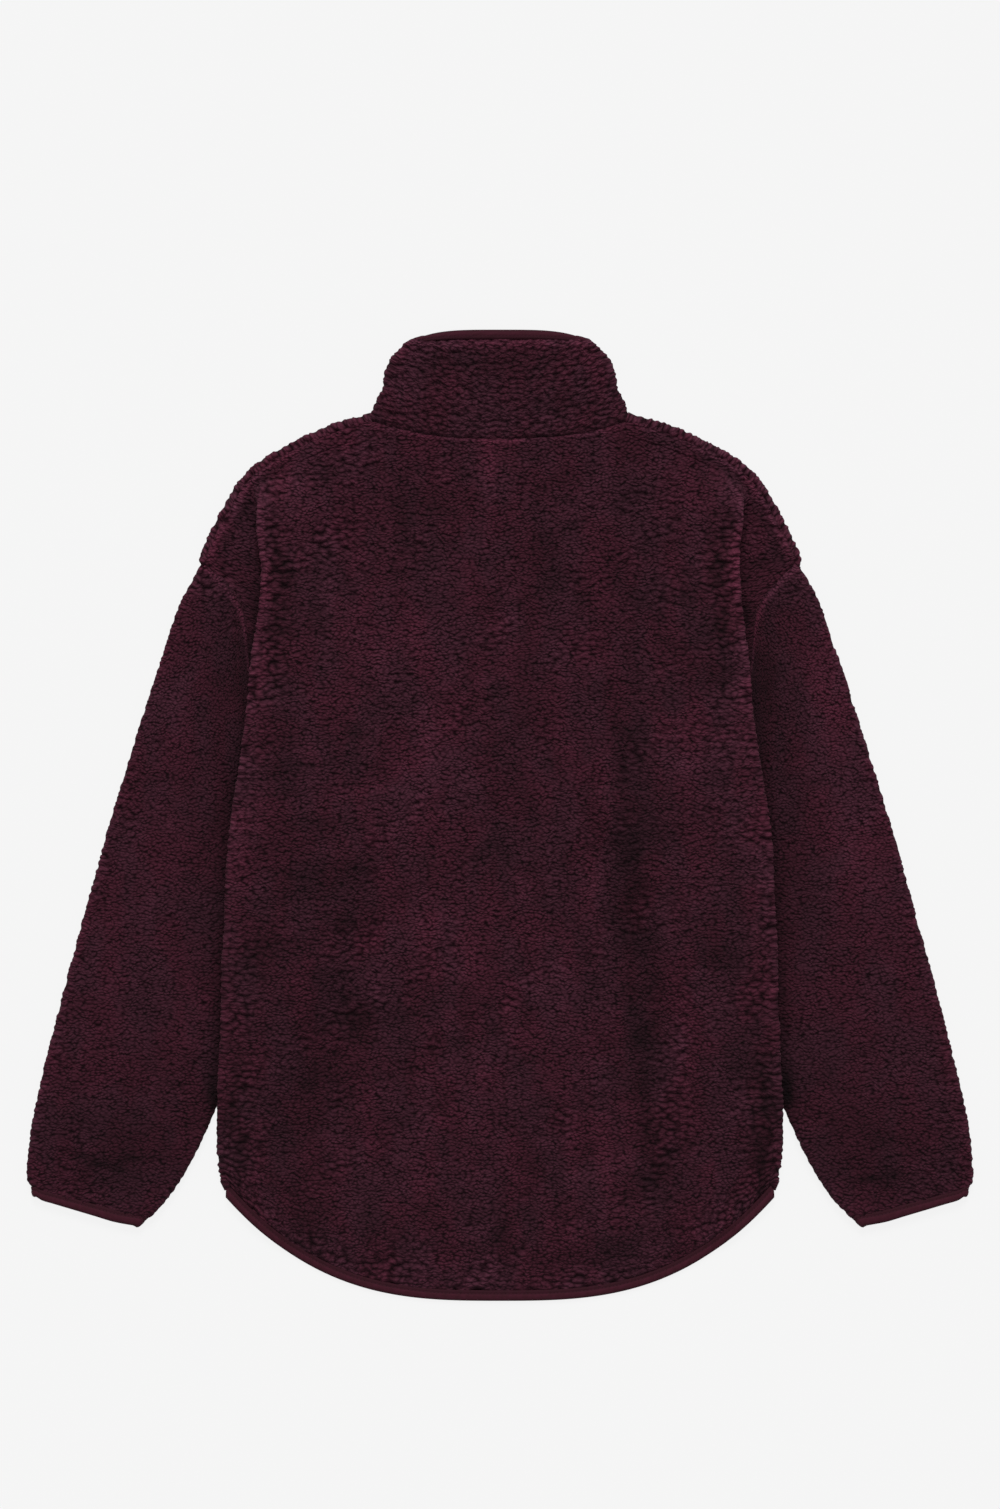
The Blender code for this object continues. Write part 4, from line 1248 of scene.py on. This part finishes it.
def zip_tape_material():
    mat, net, bsdf = new_material("zip_tape_woven", Sheen_Weight=0.1, Specular_IOR_Level=0.2)
    p = net.vec("SCALE", net.node("ShaderNodeTexCoord").outputs["Object"], 1000.0)
    px, py, _ = net.node("ShaderNodeSeparateXYZ", inputs={"Vector": p}).outputs
    warp = net.math("SINE", net.math("MULTIPLY", px, 9.5))
    weft = net.math("SINE", net.math("ADD", net.math("MULTIPLY", py, 8.0),
                                     net.math("MULTIPLY", net.math("ABSOLUTE", px), 4.0)))
    weave = net.ramp(net.math("MULTIPLY", warp, weft), -0.6, 0.6)
    wear = net.noise(p, 0.15, 2.0, 0.6)
    colour = net.mix(weave, srgb(30, 11, 17), srgb(52, 23, 32))
    colour = net.mix(net.ramp(wear, 0.4, 0.7, 0.0, 0.3), colour, srgb(60, 30, 40))
    net.give(bsdf.inputs["Base Color"], colour)
    net.give(bsdf.inputs["Roughness"], net.ramp(wear, 0.3, 0.7, 0.80, 0.92))
    bump(net, bsdf, weave, 0.0002, 0.6)
    return mat


def teeth_material():
    mat, net, bsdf = new_material("zip_teeth_moulded", Specular_IOR_Level=0.5)
    p = net.vec("SCALE", net.node("ShaderNodeTexCoord").outputs["Object"], 1000.0)
    grain = net.noise(p, 1.2, 3.0, 0.6)
    net.give(bsdf.inputs["Base Color"], net.mix(grain, srgb(42, 17, 25), srgb(58, 26, 36)))
    net.give(bsdf.inputs["Roughness"], net.ramp(grain, 0.3, 0.7, 0.34, 0.50))
    bump(net, bsdf, grain, 0.0001, 0.3)
    return mat


def metal_material():
    mat, net, bsdf = new_material("zip_metal_satin", Metallic=1.0)
    p = net.vec("SCALE", net.node("ShaderNodeTexCoord").outputs["Object"], 1000.0)
    grain = net.noise(net.vec("MULTIPLY", p, (6.0, 0.5, 6.0)), 1.0, 2.0, 0.6)
    worn = net.noise(p, 0.5, 3.0, 0.6)
    net.give(bsdf.inputs["Base Color"], net.mix(net.ramp(worn, 0.45, 0.7), srgb(84, 78, 82), srgb(120, 112, 116)))
    net.give(bsdf.inputs["Roughness"], net.ramp(grain, 0.3, 0.7, 0.28, 0.44))
    bump(net, bsdf, grain, 0.00005, 0.4)
    return mat


PILE_MAT = pile_material()
TAPE_MAT = binding_material()
pieces = finish_sheets(PILE_MAT)

# ---------------------------------------------------------------- bindings
def tape(name, rows, t, wide, way, ring=False, node=None, count=11):
    """a tape folded over a raw edge. rows: its middle surface, from the cloth
    to its folded edge; t: how far over the tape each row is, 0 to 1"""
    v = np.linspace(0, 1, count)
    mid = pchip(t, rows, v)
    back = mid[0] - mid[1]
    mid[0] += back / np.linalg.norm(back, axis=1, keepdims=True) * 0.0014
    n = normals_of(mid, ring)
    C = mid.shape[1]
    sign = 1 if n[count // 2, C // 2 if not ring else 4, 2] * way > 0 else -1
    n = n * sign
    round_ = np.sqrt(np.maximum(0.0, 1 - (np.maximum(0, v - 0.5) / 0.5) ** 2))
    half_ = np.maximum(0.00008, TAPE / 2 * round_ - 0.00028 * np.exp(-((v - 0.19) / 0.09) ** 2)
                       + 0.00012 * np.exp(-((v - 0.42) / 0.16) ** 2))
    along = run_length(mid, 1)
    uneven = 0.00009 * waves(along, np.zeros_like(along), len(name), 0.012, 0.05)
    outer = mid + n * (half_[:, None] + uneven * round_[:, None])[..., None]
    cols, rows_ = every(C, 3), np.arange(count)
    inner = mid[:, cols] - n[:, cols] * half_[:, None, None]
    for part in (outer, inner):
        part[..., 2] = np.maximum(part[..., 2], 0.00002)
    over = (v * wide)[:, None] + np.zeros(mid.shape[:2])
    ob = closed_shell(name, outer, inner, rows_, cols, ring, sign, TAPE_MAT)
    value = np.stack([along, over, np.zeros_like(over)], -1)
    pick = np.ix_(rows_, cols)
    flat = np.concatenate([value.reshape(-1, 3), value[pick].reshape(-1, 3)])
    attribute_ = ob.data.attributes.new("tape", "FLOAT_VECTOR", "POINT")
    attribute_.data.foreach_set("vector", flat.astype(np.float32).ravel())
    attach(ob, "jacket")
    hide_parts(node)
    pieces[name] = ob
    return ob


edge = COLLAR[-1]
n_collar = (60, 8, 50)
rows = np.array([collar_row(edge, n_collar, up=1.3),
                 collar_row(edge, n_collar, up=1.3 + 0.45 * TAPE_W, narrow=0.93),
                 collar_row(edge, n_collar, up=0.2 + TAPE_W, narrow=0.84)])
tape("collar_tape", both_halves(rows), [0, 0.5, 1], TAPE_W * U, 1, node="collar_binding")

rings = np.array([fine_ring(r) for r in tube_rows(CUFF, wide=TAPE)])
for side, label in ((1, "right"), (-1, "left")):
    ring = rings.copy()
    ring[..., 0] *= side
    tape("cuff_%s_tape" % label, ring, [0, 1], TAPE_W * U, 1, ring=True,
         node="cuff_binding_" + label)

rows = np.array(hem_rows(back_hem, 0.0, (279.2, 278.0, 275.0),
                         lambda x, y: mix(rest_height(x, y), L2, smooth((x - 205) / 50)), n=150))
tape("hem_back_tape", both_halves(rows), [0, 0.5, 1], TAPE_W * U, 1, node="hem_binding_back")
rows = np.array(hem_rows(front_hem, ZIP_EDGE, (268.0, 266.0, 264.0), lambda x, y: L1, n=110))
for side, label in ((1, "right"), (-1, "left")):
    part = rows.copy()
    part[..., 0] *= side
    tape("hem_front_%s_tape" % label, part, [0, 0.5, 1], TAPE_W * U, -1,
         node="hem_binding_front_" + label)

# ---------------------------------------------------------------- the zip
def tooth():
    """one moulded tooth, from its root at x = 0 to its head, along +X"""
    import bmesh
    bm = bmesh.new()
    bmesh.ops.create_cube(bm, size=1.0)
    for v in bm.verts:
        v.co.x = (v.co.x + 0.5) * 0.0033
        v.co.y *= 0.00112 if v.co.x < 0.002 else 0.00086
        v.co.z *= 0.00134
    bmesh.ops.bevel(bm, geom=bm.edges[:], offset=0.00016, segments=1, affect="EDGES")
    bmesh.ops.triangulate(bm, faces=bm.faces[:])
    verts = np.array([v.co for v in bm.verts])
    faces = np.array([[v.index for v in f.verts] for f in bm.faces])
    bm.free()
    return verts, faces


verts, faces = tooth()
y_top, y_end = (DATUM - ZIP_TOP) * U, (DATUM - ZIP_END) * U
pitch = 0.00132
count = int((y_top - y_end - 0.0014) / pitch)
all_v, all_f = [], []
for k in range(count):
    side = 1 if k % 2 else -1
    v = verts.copy()
    v[:, 0] = side * (CHAIN_HALF - v[:, 0])
    v[:, 1] += y_top - 0.0009 - k * pitch
    v[:, 2] += sum(CHAIN_Z) / 2
    all_v.append(v)
    all_f.append((faces if side < 0 else faces[:, ::-1]) + k * len(verts))
mesh = bpy.data.meshes.new("zip_teeth_row")
mesh.from_pydata(np.concatenate(all_v).tolist(), [], np.concatenate(all_f).tolist())
mesh.materials.append(teeth_material())
teeth = bpy.data.objects.new("zip_teeth_row", mesh)
bpy.context.scene.collection.objects.link(teeth)
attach(teeth, "jacket")
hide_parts("zip_chain")

woven, metal = zip_tape_material(), metal_material()
for node, mat in (("zip_tape_left", woven), ("zip_tape_right", woven),
                  ("zip_slider", metal), ("zip_pull_tab", metal)):
    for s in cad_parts[node].material_slots:
        s.material = mat

# ---------------------------------------------------------------- cloth sizes
# each piece as it is cut: greatest width and length, and its area
CUTS = [
    # piece,                  held,     width, length, area,  lies on, goes with
    ("back_panel_pile",       "folded", 0.644, 0.700, 0.356,
     ["front_panel_left_pile", "front_panel_right_pile", "sleeve_left_pile", "sleeve_right_pile"],
     ["hem_back_tape"]),
    ("front_panel_left_pile", "folded", 0.243, 0.650, 0.109, [], ["hem_front_left_tape"]),
    ("front_panel_right_pile", "folded", 0.243, 0.650, 0.109, [], ["hem_front_right_tape"]),
    ("sleeve_left_pile",      "folded", 0.427, 0.524, 0.136, [], ["cuff_left_tape"]),
    ("sleeve_right_pile",     "folded", 0.427, 0.524, 0.136, [], ["cuff_right_tape"]),
    ("collar_pile",           "folded", 0.454, 0.085, 0.030, [], ["collar_tape"]),
]
for name, held, wide, long_, area, on, more in CUTS:
    more = [pieces[n] for n in more]
    if name.startswith("front"):
        more.append(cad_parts["zip_tape_" + name.split("_")[2]])

# ---------------------------------------------------------------- surroundings
mesh = bpy.data.meshes.new("floor")
mesh.from_pydata([(-9, -9, 0), (9, -9, 0), (9, 9, 0), (-9, 9, 0)], [], [(0, 1, 2, 3)])
mat, net, bsdf = new_material("floor_pale", Specular_IOR_Level=0.0)
dust = net.noise(net.node("ShaderNodeTexCoord").outputs["Object"], 3.0, 2.0, 0.5)
FLOOR = 0.05
net.give(bsdf.inputs["Base Color"], net.mix(dust, (FLOOR, FLOOR, FLOOR, 1), (FLOOR + .004, FLOOR + .004, FLOOR + .004, 1)))
bsdf.inputs["Roughness"].default_value = 1.0
bsdf.inputs["Emission Color"].default_value = (1, 1, 1, 1)
bsdf.inputs["Emission Strength"].default_value = 0.913 - FLOOR
mesh.materials.append(mat)
floor = bpy.data.objects.new("floor", mesh)
bpy.context.scene.collection.objects.link(floor)
floor.location.z = -0.0004

world = bpy.data.worlds.new("studio")
bpy.context.scene.world = world
world.use_nodes = True
AMBIENT, KEY = 0.48, 0.52
world.node_tree.nodes["Background"].inputs["Color"].default_value = (1, 1, 1, 1)
world.node_tree.nodes["Background"].inputs["Strength"].default_value = AMBIENT


def sun(name, share, azimuth, height, soft):
    """a distant soft light that gives a level white surface this share of white"""
    light = bpy.data.lights.new(name, "SUN")
    light.energy = share * math.pi / math.sin(math.radians(height))
    light.angle = math.radians(soft)
    ob = bpy.data.objects.new(name, light)
    bpy.context.scene.collection.objects.link(ob)
    ob.rotation_euler = (math.radians(90 - height), 0, math.radians(azimuth))
    return ob


# azimuth 180: from beyond the neck
sun("key", KEY, 180, 42, 24)

PIXEL = 0.0008
DISTANCE = 1509 * PIXEL * 90.0 / 36.0
cam = bpy.data.cameras.new("camera")
cam.type = "PERSP"
cam.lens = 90.0
cam.sensor_fit = "VERTICAL"
cam.sensor_height = 36.0
cam.clip_start, cam.clip_end = 0.05, 60.0
camera = bpy.data.objects.new("camera", cam)
camera.location = (0.0, (DATUM - 754.5) * U, DISTANCE + 0.014)
bpy.context.scene.collection.objects.link(camera)
bpy.context.scene.camera = camera
bpy.context.scene.view_settings.view_transform = "Standard"
bpy.context.scene.view_settings.look = "None"
bpy.context.scene.view_settings.exposure = 0.0
bpy.context.scene.view_settings.gamma = 1.0
